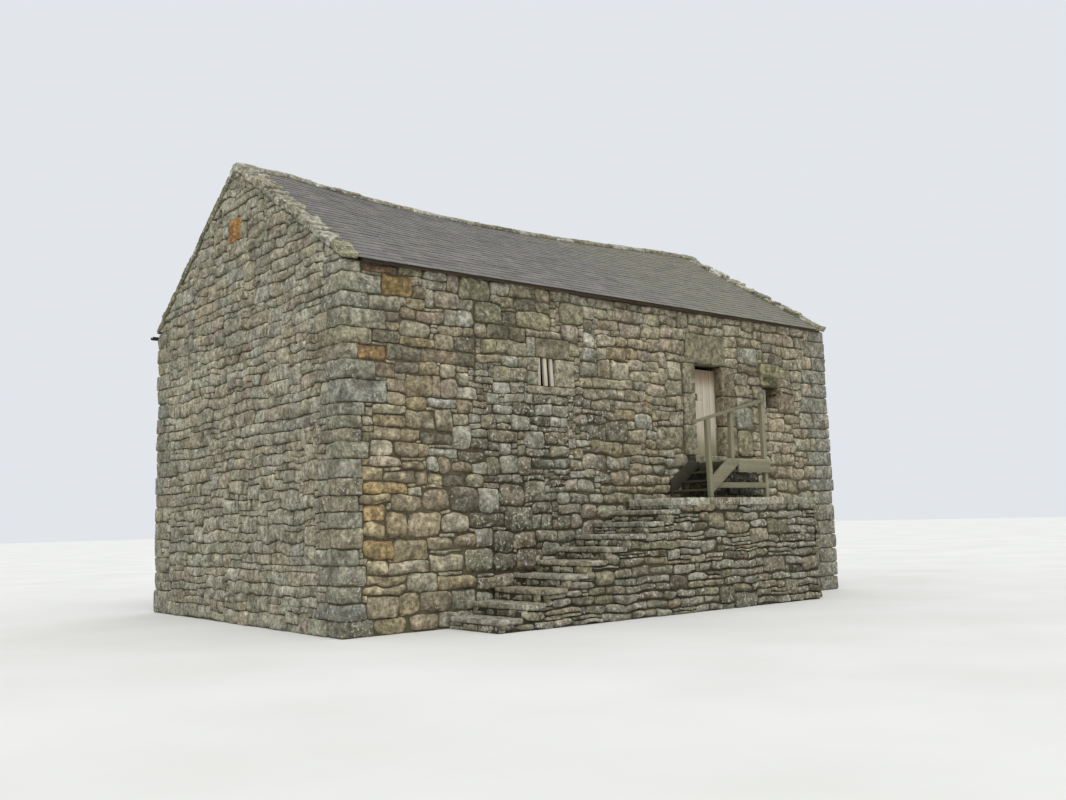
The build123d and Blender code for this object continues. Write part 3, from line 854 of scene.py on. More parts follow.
def stone_outline(left, right, bottom, top, slack=1.0, spacing=FINE, joint=JOINT):
    """Crooked, round-shouldered outline of a stone within its box on the wall, anticlockwise."""
    gap = np.array(joint) / 2
    wide = right - left - joint[0]
    high = top - bottom - joint[1]
    middle = np.array([(left + right) / 2, (bottom + top) / 2])
    pull = slack * np.array([min(0.03, 0.08 * wide), min(0.022, 0.1 * high)])
    corners = []
    for x, y in (
        (left + gap[0], bottom + gap[1]),
        (right - gap[0], bottom + gap[1]),
        (right - gap[0], top - gap[1]),
        (left + gap[0], top - gap[1]),
    ):
        corner = np.array([x, y])
        share = np.array([RNG.random() ** 2, RNG.random() ** 2])
        corners.append(corner + np.sign(middle - corner) * pull * share)
    shoulder = RNG.uniform(0.35, 1.3) * slack
    points = []
    for k in range(4):
        here = corners[k]
        before = corners[k - 1]
        after = corners[(k + 1) % 4]
        reach = []
        for far in (before, after):
            length = np.abs(far - here).max()
            reach.append(min(RNG.uniform(0.12, 0.42) * shoulder * min(length, 0.3), 0.42 * length))
        start = here + (before - here) / np.linalg.norm(before - here) * reach[0]
        end = here + (after - here) / np.linalg.norm(after - here) * reach[1]
        bend = 0.25 * start + 0.5 * here + 0.25 * end
        points.append((start, bend, end))
    outline = []
    for k in range(4):
        outline += points[k]
        end = points[k][2]
        finish = points[(k + 1) % 4][0]
        length = np.linalg.norm(finish - end)
        inward = np.array([-(finish - end)[1], (finish - end)[0]]) / max(length, 1e-6)
        count = max(1, round(length / spacing) - 1)
        for m in range(count):
            share = (m + 1) / (count + 1)
            outline.append(end + (finish - end) * share + inward * RNG.uniform(-0.005, 0.007) * slack)
    return np.array(outline)


def outward(outline):
    """Unit direction away from the stone at each point of its outline."""
    tangent = np.roll(outline, -1, axis=0) - np.roll(outline, 1, axis=0)
    normal = np.stack([tangent[:, 1], -tangent[:, 0]], axis=1)
    return normal / np.maximum(np.linalg.norm(normal, axis=1), 1e-9)[:, None]


def openness(outline, face, away, upright):
    """How open the joint is at each point: shut at about 0, deep and dark at 1.5.

    Neighbours read it at the same places. Upright joints are as open as beds times upright.
    """
    probe = face.probe(outline)
    wandering = 0.85 + 0.9 * lattice_noise(probe, 0.3, 31) + 0.3 * lattice_noise(probe, 0.1, 32)
    return np.clip(wandering, 0.08, 1.6) * (upright + (1 - upright) * away[:, 1] ** 2)


def add_rubble_stone(
    piece, face, outline, tint, lichen, proud=0.0, rounding=1.0, detailed=True, upright=0.5
):
    """Stone with a pillowed, uneven front on a face of the wall, open where it is bedded."""
    count = len(outline)
    middle = outline.mean(axis=0)
    low, high = outline.min(axis=0), outline.max(axis=0)
    small = (high - low).min()
    away = outward(outline)
    edge = min(min(0.055, 0.28 * small) * rounding * RNG.uniform(0.5, 1.3), 0.33 * small)
    opened = openness(outline, face, away, upright)
    drop = min(0.042, 0.22 * small) * rounding * RNG.uniform(0.5, 1.3) * opened
    # Wear is low where the joint is open and deep; the stone material paints dirt and shade there
    clean = np.clip(1.15 - 0.95 * opened, 0.0, 1.0)
    lean = np.array([RNG.uniform(-0.06, 0.06), RNG.uniform(-0.1, 0.07)])
    crown = min(0.025, 0.1 * small) * RNG.uniform(-0.2, 1.0)
    seed = RNG.randrange(1, 9000)
    inset = 2 * edge / (high - low)
    inner = middle + (outline - middle) * (1 - inset)
    # Rings of points from the back edge to the middle, each with its height and wear
    rings = [
        (outline, -STONE_DEPTH, clean),
        (outline, -drop, 0.1 + 0.9 * clean),
        (middle + (outline - middle) * (1 - 0.3 * inset), -drop * 0.38, 0.55 + 0.45 * clean),
        (inner, 0.0, 1.0),
    ]
    for share in (0.72, 0.38) if small > 0.17 and detailed else (0.55,):
        rings.append((middle + (inner - middle) * share, crown * (1 - share), 1.0))
    flat = np.vstack([ring[0] for ring in rings] + [middle])
    heights = np.concatenate([np.zeros(count) + ring[1] for ring in rings] + [[crown]])
    wear = np.concatenate([np.zeros(count) + ring[2] for ring in rings] + [[1.0]])
    probe = np.column_stack([flat, np.zeros(len(flat))])
    uneven = 0.013 * lattice_noise(probe, 0.12, seed) + 0.008 * lattice_noise(probe, 0.045, seed + 1)
    heights = heights + (uneven + (flat - middle) @ lean) * (0.35 + 0.65 * wear) + proud
    heights[:count] = -STONE_DEPTH
    steps = np.arange(count)
    sides = np.column_stack([steps, (steps + 1) % count])
    bases = count * np.arange(len(rings))
    quads = [np.column_stack([base + sides, base + count + sides[:, ::-1]]) for base in bases[:-1]]
    cap = np.column_stack([bases[-1] + sides, np.full(count, len(flat) - 1)])
    points = face.place(flat[:, 0], flat[:, 1], heights)
    # Painted light and shade: the stone's head is painted lighter and its foot darker, as if lit from above
    up = (flat[:, 1:] - low[1]) / (high[1] - low[1])
    painted_top_light = 1 + RNG.uniform(*PAINTED_TOP_LIGHT) * (0.5 + lichen) * rounding * (up - 0.5)
    piece.add(points, [np.vstack(quads), cap], tint * painted_top_light, wear, lichen)


def calm(points, fixed, reach=0.28):
    """0 beside a dressed stone or quoin and 1 away from them all, so that beds meet them squarely."""
    nearest = np.full(len(points), 9.0)
    for left, right, bottom, top in fixed:
        dx = np.maximum(np.maximum(left - points[:, 0], points[:, 0] - right), 0)
        dy = np.maximum(np.maximum(bottom - points[:, 1], points[:, 1] - top), 0)
        nearest = np.minimum(nearest, np.hypot(dx, dy))
    return smooth(nearest, 0.0, reach)


def pushed_out(points, fixed, margin=0.006):
    """Points kept clear of the fixed stones."""
    points = points.copy()
    for left, right, bottom, top in fixed:
        low = np.array([left, bottom]) - margin
        high = np.array([right, top]) + margin
        for k in np.flatnonzero(((points > low) & (points < high)).all(axis=1)):
            x, y = points[k]
            moves = [(x - low[0], 0, low[0]), (high[0] - x, 0, high[0])]
            moves += [(y - low[1], 1, low[1]), (high[1] - y, 1, high[1])]
            distance, axis, value = min(moves)
            points[k, axis] = value
    return points


def crooked(outline, face, fixed, amount=1.0):
    """Outline moved with its neighbours, so that beds and joints wander but stay narrow."""
    probe = face.probe(outline)
    sway = np.column_stack([lattice_noise(probe, 0.7, 11), lattice_noise(probe, 0.55, 12)])
    kinks = np.column_stack([lattice_noise(probe, 0.23, 13), lattice_noise(probe, 0.19, 14)])
    nicks = np.column_stack([lattice_noise(probe, 0.08, 15), lattice_noise(probe, 0.08, 16)])
    moved = sway * (0.028, 0.03) * calm(outline, fixed)[:, None]
    moved += (kinks * (0.034, 0.026) + nicks * 0.006) * calm(outline, fixed, 0.12)[:, None]
    return outline + amount * moved


def lay_wall(
    piece, wall, tint_at, lichen_at, rounding, shade_at=even(1.0), top_line=None, named=(), sway=1.0,
    spacing=FINE, joint=JOINT, upright=0.5, barriers=(), **options
):
    """Rubble over the free cells of a wall; named stones keep their places and kinds."""
    column, row = wall.column, wall.row
    chosen = []
    kinds = []
    taken = wall.free.copy()
    for left, right, bottom, top, kind in named:
        sides = round(left / column), round(right / column)
        stone = fitted(taken, *sides, round(bottom / row), round(top / row))
        if stone is None:
            continue
        taken[stone[2] : stone[3], stone[0] : stone[1]] = False
        chosen.append(stone)
        kinds.append(kind)
    for k, stone in enumerate(chosen):
        chosen[k] = grown(taken, stone, barriers)
        left, right, bottom, top = chosen[k]
        taken[bottom:top, left:right] = False
    stones = lay_stones(wall.free, chosen=chosen, barriers=barriers, **options)
    for k, (left, right, bottom, top) in enumerate(stones):
        box = [left * column, right * column, bottom * row, top * row]
        for edge, first, last in barriers:
            if bottom < last and top > first:
                box[0] += CRACK * (left == edge)
                box[1] -= CRACK * (right == edge)
        roundness = rounding((box[0] + box[1]) / 2, (box[2] + box[3]) / 2)
        outline = stone_outline(*box, min(MOST_SLACK, roundness), spacing, joint)
        outline = pushed_out(crooked(outline, wall.face, wall.fixed, sway), wall.fixed)
        outline[:, 1] = np.maximum(outline[:, 1], 0.002)
        if top_line is not None:
            outline[:, 1] = np.minimum(outline[:, 1], top_line(outline[:, 0]))
        if np.ptp(outline, axis=0).min() < SLIVER:
            continue
        middle = outline.mean(axis=0)
        proud = 0.01 * lattice_noise(np.array([[*middle, 0.0]]), 1.3, 21)[0] + RNG.uniform(*STANDING)
        if min(right - left, top - bottom) <= 2:
            proud -= PINNING_RECESS
        kind = kinds[k] if k < len(kinds) else None
        tint = varied(STONES[kind]) if kind else tint_at(*middle)
        tint = tint * shade_at(*middle)
        lichen = lichen_at(*middle)
        if kind in BARE_KINDS:
            lichen = BARE_LICHEN
        add_rubble_stone(piece, wall.face, outline, tint, lichen, proud, roundness, spacing == FINE, upright)


FRONT = Face((0, 0, 0), (1, 0, 0), (0, -1, 0))
RIGHT = Face((LENGTH, 0, 0), (0, 1, 0), (1, 0, 0), RIGHT_BATTER)
REAR = Face((LENGTH, WIDTH, 0), (-1, 0, 0), (0, 1, 0))
LEFT = Face((0, WIDTH, 0), (0, -1, 0), (-1, 0, 0))


# Parts of the front with looks of their own: their sides and their top, each as the place where
# the part starts and the place from which it is full
WARM_STONES = (((3.2, 0.6),), (3.5, 2.2))
STAIN_UNDER_WINDOW = (((1.8, 2.5), (5.0, 3.6)), (3.9, 3.3))
LIGHT_LEFT = (((2.4, 1.2),), (4.6, 3.6))
# Painted shadow of the landing on the wall under it, with damp
LANDING_SHADOW = (((6.6, 6.9), (8.8, 8.65)), (2.6, 2.45))
MUCH_LICHEN = (((1.7, 2.6), (5.6, 4.2)), (4.1, 3.4))
LITTLE_LICHEN = (((2.0, 0.6),), (3.4, 2.4))


def within(part, x, z):
    """Share from 0 outside a part of the front to 1 inside."""
    sides, top = part
    share = 1.0
    for side in sides:
        share = share * smooth(x, *side)
    return share * smooth(z, *top)


def front_tint(x, z):
    """Colour of a rubble stone of the front wall: warm at the lower left, mixed in the middle."""
    warm = within(WARM_STONES, x, z)
    middle = smooth(x, 1.8, 2.8) * smooth(x, 5.6, 4.2)
    low_middle = middle * smooth(z, 3.7, 3.0)
    right = smooth(x, 5.5, 7.5)
    weights = {
        "grey_green": 0.26 - 0.14 * warm - 0.1 * low_middle,
        "buff": 0.3 - 0.1 * low_middle,
        "tan": 0.18 + 0.2 * warm + 0.06 * right,
        "pink": 0.08 + 0.04 * low_middle + 0.06 * right,
        "ochre": 0.03 + 0.35 * warm,
        "brown": 0.06 + 0.05 * warm + 0.06 * middle,
        "dark": 0.03 + 0.06 * middle + 0.1 * low_middle,
        "sooty": 0.3 * low_middle,
        "pale": 0.01 + 0.22 * low_middle,
        "blue_grey": 0.03,
        "moss": 0.03 + 0.06 * middle,
    }
    plain = (0.2 + 0.25 * right) * (1 - low_middle)
    return (1 - plain) * choose(weights) + plain * STONES["buff"]


def front_stain_and_shadow(x, z):
    """Darker where rain runs down under the window, and much darker under the landing: a painted shadow of
    the landing on damp stone.
    """
    clean = 1.02 - 0.22 * within(STAIN_UNDER_WINDOW, x, z) + 0.18 * within(LIGHT_LEFT, x, z)
    return clean * (1 - 0.85 * within(LANDING_SHADOW, x, z))


def front_rounding(x, z):
    """Rounder boulders low down."""
    return 0.9 + 0.3 * float(smooth(z, 3.6, 1.8))


# Where browner stones lie together on the gables and the rear: along the wall, up, and how far
BROWN_PATCHES = ((2.4, 5.3, 0.8), (5.85, 4.0, 0.7), (3.7, 4.1, 0.7))


def gable_tint(along, up):
    """Colour of a rubble stone of the other walls."""
    patch = 0.0
    for x, z, size in BROWN_PATCHES:
        patch = max(patch, float(smooth(math.hypot(along - x, up - z), size, 0.4 * size)))
    weights = {
        "grey_green": 0.4,
        "buff": 0.3,
        "tan": 0.06 + 0.3 * patch,
        "pink": 0.06 + 0.3 * patch,
        "brown": 0.02 + 0.3 * patch,
        "dark": 0.02,
        "pale": 0.06,
        "blue_grey": 0.06,
    }
    plain = 0.4 - 0.3 * patch
    return GABLE_SHADE * ((1 - plain) * choose(weights) + plain * STONES["grey_green"])


def front_lichen(x, z):
    """Lichen of a rubble stone of the front: most in the damp middle, least at the lower left."""
    mean = 0.4 + 0.6 * within(MUCH_LICHEN, x, z) - 0.25 * within(LITTLE_LICHEN, x, z)
    return float(np.clip(mean + RNG.uniform(-0.2, 0.2), 0, 1))


def gable_lichen(along, up):
    """Lichen of a rubble stone of the other walls."""
    return float(np.clip(0.55 + RNG.uniform(-0.25, 0.25), 0, 1))


def gable_top(along):
    """Height of the masonry under the coping at a distance along a gable."""
    return WALL_HEAD + SLOPE * np.minimum(along, WIDTH - along) - 0.012


# Quoins: rows high, columns along the long wall and columns along the gable, from the top down
FRONT_LEFT_QUOINS = [
    (4, 6, 9), (6, 12, 6), (5, 8, 11), (6, 13, 7), (5, 9, 12), (5, 5, 10), (6, 10, 8), (7, 13, 6),
    (4, 7, 11), (4, 6, 8), (4, 6, 11), (5, 8, 8), (6, 6, 12), (5, 6, 7), (5, 5, 11), (5, 6, 8),
    (6, 6, 12), (5, 5, 7), (6, 7, 12), (5, 6, 8), (5, 7, 13), (5, 9, 8),
]
FRONT_RIGHT_QUOINS = [
    (5, 9, 12), (7, 12, 8), (6, 8, 13), (6, 14, 8), (6, 9, 12), (7, 15, 8), (7, 9, 13), (4, 12, 8),
    (6, 8, 12), (6, 13, 8), (6, 9, 13), (5, 13, 8), (6, 8, 12), (7, 14, 8), (6, 9, 13), (6, 14, 8),
    (6, 9, 13), (6, 15, 9), (6, 10, 14),
]


def random_quoins():
    """Courses of corner stones, long and short in turn, that add up to the wall's height."""
    quoins = []
    left = ROWS
    while left:
        rows = RNG.randint(5, 7)
        if left - rows < 5:
            rows = left
        long_side = len(quoins) % 2 == 0
        quoins.append((rows, *((RNG.randint(11, 14), 7) if long_side else (7, RNG.randint(10, 13)))))
        left -= rows
    return quoins


# Quoins of each corner, and whether it is at the right and at the rear
CORNERS = {
    "front_left": (FRONT_LEFT_QUOINS, False, False),
    "front_right": (FRONT_RIGHT_QUOINS, True, False),
    "rear_left": (random_quoins(), False, True),
    "rear_right": (random_quoins(), True, True),
}
QUOIN_COLOURS = {"grey_green": 0.55, "buff": 0.3, "blue_grey": 0.1, "tan": 0.05}
# The one large quoin that is bluer than the rest: its corner and its place from the top
BLUE_QUOIN = ("front_left", 7)

# Stones of the front that stand out: left, right, bottom and top on the wall, and their kind
NAMED_STONES = [
    (0.31, 0.9, 4.99, 5.17, "rust"), (0.91, 1.36, 5.01, 5.18, "moss"), (0.66, 1.16, 4.77, 4.99, "orange"),
    (1.18, 1.34, 4.88, 5.01, "pink"), (1.76, 1.95, 4.87, 5.04, "pink"),
    (1.97, 2.55, 4.78, 5.04, "moss"), (3.88, 4.43, 4.64, 4.95, "moss"),
    (5.19, 5.54, 4.82, 5.02, "pink"), (1.56, 1.98, 4.6, 4.87, "pink"), (3.02, 3.45, 4.73, 4.93, "dark"),
    (9.04, 9.7, 4.74, 4.94, "pink"), (2.24, 2.67, 4.5, 4.78, "moss"), (3.15, 3.72, 4.47, 4.75, "moss"),
    (5.2, 5.77, 4.53, 4.8, "pink"), (5.79, 6.2, 4.57, 4.8, "buff"), (6.22, 6.55, 4.61, 4.84, "pink"),
    (7.86, 8.31, 4.54, 4.77, "buff"), (0.29, 0.96, 4.52, 4.7, "grey_green"),
    (2.74, 3.1, 4.47, 4.7, "dark"), (1.21, 1.71, 4.4, 4.57, "pink"), (4.45, 4.7, 4.33, 4.56, "pale"),
    (6.21, 6.83, 4.33, 4.62, "pink"), (8.32, 8.87, 4.34, 4.59, "grey_green"),
    (2.46, 2.94, 4.25, 4.48, "dark"), (5.15, 5.42, 4.37, 4.51, "ochre"),
    (9.16, 9.62, 4.37, 4.54, "dark"), (9.61, 10.08, 4.28, 4.52, "buff"),
    (0.95, 1.47, 4.18, 4.37, "buff"), (0.69, 0.93, 4.24, 4.35, "ochre"),
    (2.65, 3.23, 4.05, 4.26, "buff"), (4.38, 4.67, 4.06, 4.29, "blue_grey"),
    (4.96, 5.38, 4.12, 4.35, "ochre"), (5.38, 5.66, 4.16, 4.33, "ochre"),
    (8.33, 8.88, 4.1, 4.27, "brown"), (0.28, 0.93, 4.01, 4.22, "dark"),
    (1.04, 1.52, 4.02, 4.15, "ochre"), (1.88, 2.24, 4.02, 4.22, "dark"),
    (0.23, 0.73, 3.81, 4.02, "russet"), (0.74, 1.29, 3.79, 4.02, "dark"),
    (1.34, 1.89, 3.78, 4.0, "brown"), (1.92, 2.23, 3.78, 4.0, "dark"), (2.29, 2.76, 3.86, 4.03, "tan"),
    (2.77, 3.1, 3.88, 4.02, "pale"), (2.56, 3.11, 3.62, 3.85, "moss"), (6.37, 6.92, 3.6, 3.9, "buff"),
    (0.88, 1.24, 3.62, 3.79, "dark"), (1.26, 1.58, 3.61, 3.76, "ochre"), (4.64, 5.53, 3.6, 3.8, "buff"),
    (9.19, 9.96, 3.43, 3.82, "brown"), (0.48, 0.9, 3.51, 3.69, "brown"),
    (1.09, 1.46, 3.33, 3.59, "ochre"), (1.48, 1.65, 3.36, 3.6, "brown"),
    (2.61, 2.92, 3.44, 3.59, "pale"), (0.75, 1.07, 3.35, 3.53, "brown"),
    (1.67, 1.92, 3.35, 3.55, "pink"), (1.92, 2.31, 3.33, 3.46, "pale"),
    (8.12, 8.67, 3.09, 3.46, "grey_green"), (2.78, 3.17, 3.29, 3.42, "pale"),
    (4.59, 5.03, 3.24, 3.41, "moss"), (9.07, 9.61, 3.16, 3.35, "tan"), (1.02, 1.33, 3.12, 3.3, "ochre"),
    (1.35, 1.9, 3.14, 3.31, "blue_grey"), (1.93, 2.19, 3.13, 3.3, "brown"),
    (5.09, 5.48, 3.11, 3.31, "ochre"), (5.55, 6.0, 3.08, 3.26, "blue_grey"),
    (2.61, 2.95, 3.09, 3.25, "pale"), (4.94, 5.36, 2.78, 3.07, "dark"), (6.05, 6.7, 2.65, 3.07, "buff"),
    (8.09, 8.64, 2.56, 3.07, "moss"), (0.49, 1.06, 2.86, 3.04, "ochre"),
    (4.5, 4.92, 2.86, 3.04, "dark"), (5.37, 5.84, 2.75, 2.97, "buff"), (9.04, 9.59, 2.9, 3.05, "buff"),
    (0.49, 0.91, 2.68, 2.85, "tan"), (1.81, 2.16, 2.62, 2.93, "pale"), (3.21, 3.55, 2.72, 2.87, "pale"),
    (3.57, 4.03, 2.68, 2.87, "brown"), (0.27, 0.48, 2.73, 2.84, "ochre"),
    (0.91, 1.25, 2.67, 2.82, "ochre"), (1.29, 1.8, 2.61, 2.82, "dark"), (2.16, 2.5, 2.58, 2.75, "dark"),
    (4.56, 5.25, 2.52, 2.76, "ochre"), (5.27, 5.71, 2.54, 2.77, "tan"),
    (1.22, 1.43, 2.44, 2.61, "ochre"), (1.45, 1.9, 2.45, 2.59, "blue_grey"),
    (1.91, 2.41, 2.42, 2.57, "dark"), (3.2, 3.54, 2.47, 2.62, "pink"), (2.46, 2.71, 2.29, 2.5, "moss"),
    (2.72, 3.05, 2.26, 2.53, "pale"), (3.44, 4.05, 2.29, 2.46, "blue_grey"),
    (4.94, 5.35, 2.3, 2.53, "grey_green"), (5.37, 5.89, 2.37, 2.54, "buff"),
    (0.25, 0.39, 2.3, 2.42, "gold"), (0.4, 0.94, 2.31, 2.42, "pink"), (0.94, 1.32, 2.27, 2.41, "brown"),
    (1.53, 1.8, 2.24, 2.42, "brown"), (2.12, 2.43, 2.19, 2.38, "pale"),
    (4.07, 4.27, 2.25, 2.43, "ochre"), (4.33, 4.92, 2.24, 2.42, "pink"),
    (9.08, 9.65, 2.18, 2.41, "brown"), (0.16, 0.66, 2.13, 2.29, "ochre"),
    (0.67, 1.13, 2.1, 2.27, "tan"), (1.15, 1.39, 2.02, 2.27, "brown"), (1.65, 2.01, 2.0, 2.19, "dark"),
    (2.03, 2.37, 1.97, 2.19, "moss"), (2.47, 2.91, 2.11, 2.2, "dark"), (0.34, 1.04, 1.9, 2.07, "gold"),
    (2.64, 3.03, 1.8, 2.08, "brown"), (3.13, 3.54, 1.74, 2.1, "buff"),
    (1.35, 1.77, 1.65, 2.02, "brown"), (2.28, 2.62, 1.66, 1.98, "pale"),
    (0.37, 0.76, 1.78, 1.9, "ochre"), (0.77, 1.24, 1.69, 1.88, "tan"), (1.78, 2.26, 1.64, 1.95, "dark"),
    (0.28, 0.71, 1.55, 1.77, "gold"), (1.03, 1.51, 1.32, 1.69, "tan"), (2.76, 3.25, 1.38, 1.71, "dark"),
    (0.67, 1.02, 1.3, 1.6, "ochre"), (1.58, 2.06, 1.36, 1.64, "buff"), (2.08, 2.74, 1.38, 1.65, "dark"),
    (3.29, 3.46, 1.38, 1.58, "pale"), (0.3, 0.65, 1.32, 1.54, "ochre"),
    (1.84, 2.18, 1.12, 1.36, "brown"), (2.51, 2.88, 1.04, 1.35, "dark"),
    (2.9, 3.31, 1.08, 1.36, "brown"), (3.33, 3.8, 1.17, 1.37, "buff"), (0.32, 0.82, 1.02, 1.3, "gold"),
    (0.85, 1.38, 0.98, 1.29, "ochre"), (1.38, 1.94, 0.81, 1.06, "buff"),
    (2.0, 2.55, 0.77, 1.12, "moss"), (3.0, 3.47, 0.72, 1.06, "brown"), (0.72, 1.24, 0.79, 0.98, "buff"),
    (2.56, 2.97, 0.73, 1.03, "dark"),
]


gable_rows = math.ceil((WALL_HEAD + SLOPE * HALF_WIDTH) / ROW)
across = (np.arange(GABLE_COLUMNS) + 0.5) * GABLE_COLUMN
above_gable = gable_top(across)[None, :] <= (np.arange(gable_rows)[:, None] + 0.25) * ROW
walls = {
    "front": Wall(FRONT, np.ones((ROWS, FRONT_COLUMNS), bool), FRONT_COLUMN),
    "rear": Wall(REAR, np.ones((ROWS, FRONT_COLUMNS), bool), FRONT_COLUMN),
    "left": Wall(LEFT, ~above_gable, GABLE_COLUMN),
    "right": Wall(RIGHT, ~above_gable, GABLE_COLUMN),
}


def batter_at(low, high):
    """How far the right gable stands out at the middle of a height."""
    return RIGHT_BATTER * (1 - (low + high) / 2 / WALL_HEAD)


QUOIN_GAP = 0.003
quoin_piece = Piece("quoins")
for corner, (quoins, at_right, at_rear) in CORNERS.items():
    wall = walls["rear" if at_rear else "front"]
    gable = walls["right" if at_right else "left"]
    top = ROWS
    for k, (rows, along_wall, along_gable) in enumerate(quoins):
        length = along_wall * FRONT_COLUMN
        depth = along_gable * GABLE_COLUMN
        z0, z1 = (top - rows) * ROW, top * ROW
        top -= rows
        out = RNG.uniform(-0.006, 0.014)
        x0, x1 = (LENGTH - length, LENGTH + out + batter_at(z0, z1)) if at_right else (-out, length)
        y0, y1 = (WIDTH - depth, WIDTH + out) if at_rear else (-out, depth)
        inner_gap = QUOIN_GAP * np.array([at_right, at_rear, True])
        outer_gap = QUOIN_GAP * np.array([not at_right, not at_rear, True])
        points, faces, wear = worn_block(
            np.array([x0, y0, z0]) + inner_gap,
            np.array([x1, y1, z1]) - outer_gap,
            radius=RNG.uniform(0.022, 0.05),
            step=0.16 if at_rear else 0.085,
            swell=0.018 if at_right else 0.026,
            size=0.16,
        )
        # Painted light and shade: the quoin's head is painted lighter and its foot darker, as if lit from
        # above
        painted_top_light = 1 + RNG.uniform(*PAINTED_TOP_LIGHT) * 0.7 * ((points[:, 2:] - z0) / (z1 - z0) - 0.5)
        tint = QUOIN_SHADE * choose(QUOIN_COLOURS)
        if (corner, k) == BLUE_QUOIN:
            tint = STONES["blue_grey"]
        if at_right:
            tint = 0.41 * tint + 0.43 * STONES["blue_grey"]
        quoin_piece.add(points, faces, tint * painted_top_light, wear, RNG.uniform(0.4, 0.75))
        start = LENGTH - length if at_right != at_rear else 0.0
        wall.keep_clear(start, start + length, z0, z1)
        start = WIDTH - depth if at_right == at_rear else 0.0
        gable.keep_clear(start, start + depth, z0, z1)
quoin_piece.build(rubble)

# Dressed stones and openings


def add_blocks(
    piece, boxes, weights, grow=0.008, radius=0.02, swell=0.004, lichen=(0.3, 0.6), moss=0.0
):
    """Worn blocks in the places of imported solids, a little proud in front."""
    for low, high in boxes:
        low = low.copy()
        low[1] -= grow * RNG.uniform(0.3, 1.3)
        rounded = radius * RNG.uniform(0.8, 1.3)
        points, faces, wear = worn_block(low, high, rounded, step=0.08, swell=swell)
        piece.add(points, faces, DRESSED_SHADE * choose(weights), wear, RNG.uniform(*lichen), moss)


window_low, window_high = house_box("window_jambs")
door_low, door_high = house_box("door_jambs")
frame_low, frame_high = house_box("small_window_frame")
window_head = house_box("window_lintel")[0][2]
byre_low, byre_high = house_box("byre_door_jambs")
byre_top = house_box("byre_door_lintel")[1][2]
FRONT_DRESSINGS = (
    "window_jambs",
    "window_lintel",
    "window_sill",
    "door_jambs",
    "door_lintel",
    "door_threshold",
    "small_window_lintel",
)
front_boxes = [box for node in FRONT_DRESSINGS for box in islands(node)]
front_boxes.append((window_low, np.array([window_high[0], 0.0, window_head])))
front_boxes += [(door_low, door_high), (frame_low, frame_high)]
for low, high in front_boxes:
    walls["front"].keep_clear(low[0], high[0], low[2], high[2])
walls["right"].keep_clear(byre_low[1], byre_high[1], 0, byre_top)

window_stones = Piece("window_dressings")
# Node, kinds of stone, how far it stands out, radius, unevenness, lichen and moss
for node, colours, grow, radius, swell, lichen, moss in (
    ("window_jambs", {"grey_green": 0.5, "buff": 0.5}, 0.006, 0.024, 0.012, (0.4, 0.7), 0.0),
    ("window_lintel", {"olive": 1.0}, 0.01, 0.035, 0.016, (0.1, 0.3), 0.1),
    ("window_sill", {"grey_green": 0.6, "buff": 0.4}, 0.01, 0.022, 0.012, (0.3, 0.6), 0.0),
):
    add_blocks(window_stones, islands(node), colours, grow, radius, swell, lichen, moss)
window_stones.build(dressed, replaces=("window_jambs", "window_lintel", "window_sill"))

# How deep the door stands in its opening, and how far the jambs are cut back behind it
REVEAL = 0.18
REBATE = 0.06
BACK_LAP = 0.01
# Height above the threshold up to which the right jamb is mossy
MOSSY_FOOT = 0.6
door_stones = Piece("door_dressings")
middle_x = (door_low[0] + door_high[0]) / 2
for low, high in islands("door_jambs"):
    at_left = high[0] < middle_x
    front = np.array([high[0], REVEAL, high[2]])
    back = np.array([low[0] + REBATE * (not at_left), REVEAL - BACK_LAP, low[2]])
    back_high = high - (REBATE * at_left, 0, 0)
    colours = {"tan": 0.5, "buff": 0.5} if at_left else {"brown": 1.0}
    if not at_left and high[2] < door_low[2] + MOSSY_FOOT:
        colours = {"moss": 1.0}
    looks = dict(grow=0.006, radius=0.03, swell=0.016, lichen=(0.2, 0.6))
    add_blocks(door_stones, [(low, front)], colours, **looks)
    add_blocks(door_stones, [(back, back_high)], colours, grow=0.0, radius=0.008)
looks = dict(grow=0.02, radius=0.03, swell=0.012, lichen=(0.1, 0.2), moss=0.1)
add_blocks(door_stones, islands("door_lintel"), {"moss": 1.0}, **looks)
add_blocks(door_stones, islands("door_threshold"), {"buff": 1.0}, grow=0.015)
door_stones.build(dressed, replaces=("door_jambs", "door_lintel", "door_threshold"))

# The small window's lintel is worn hollow over the opening, with a lobe left hanging in it. The
# hollow's left and right edge and its top are each given as where it starts and where it is full.
HOLLOW_LEFT = (8.98, 9.04)
HOLLOW_RIGHT = (9.48, 9.42)
HOLLOW_TOP = (4.13, 4.07)
HOLLOW_DEPTH = 0.07
LOBE_MIDDLE = (9.1, 3.93)
LOBE_SIZE = (0.1, 0.11)
small_stones = Piece("small_window_lintel_stone")
low, high = house_box("small_window_lintel")
points, faces, wear = worn_block(low - (0, 0.012, 0), high, radius=0.03, step=0.03, swell=0.014)
x, z = points[:, 0], points[:, 2]
hollow = smooth(x, *HOLLOW_LEFT) * smooth(x, *HOLLOW_RIGHT) * smooth(z, *HOLLOW_TOP)
from_lobe = (points[:, ::2] - LOBE_MIDDLE) / LOBE_SIZE
lobe = smooth(np.hypot(from_lobe[:, 0], from_lobe[:, 1]), 1.0, 0.7)
hollow = np.clip(hollow - lobe, 0, 1)
points[:, 1] += HOLLOW_DEPTH * hollow * (1 - points[:, 1] / high[1])
small_stones.add(points, faces, srgb(134, 129, 101), wear, lichen=0.1, moss=0.1)
# Painted shade in the hollow: the stone is darkened where it is worn deepest
small_stones.tints[-1][:, :3] *= 1 - 0.5 * hollow[:, None]
small_stones.build(dressed, replaces=("small_window_lintel",))

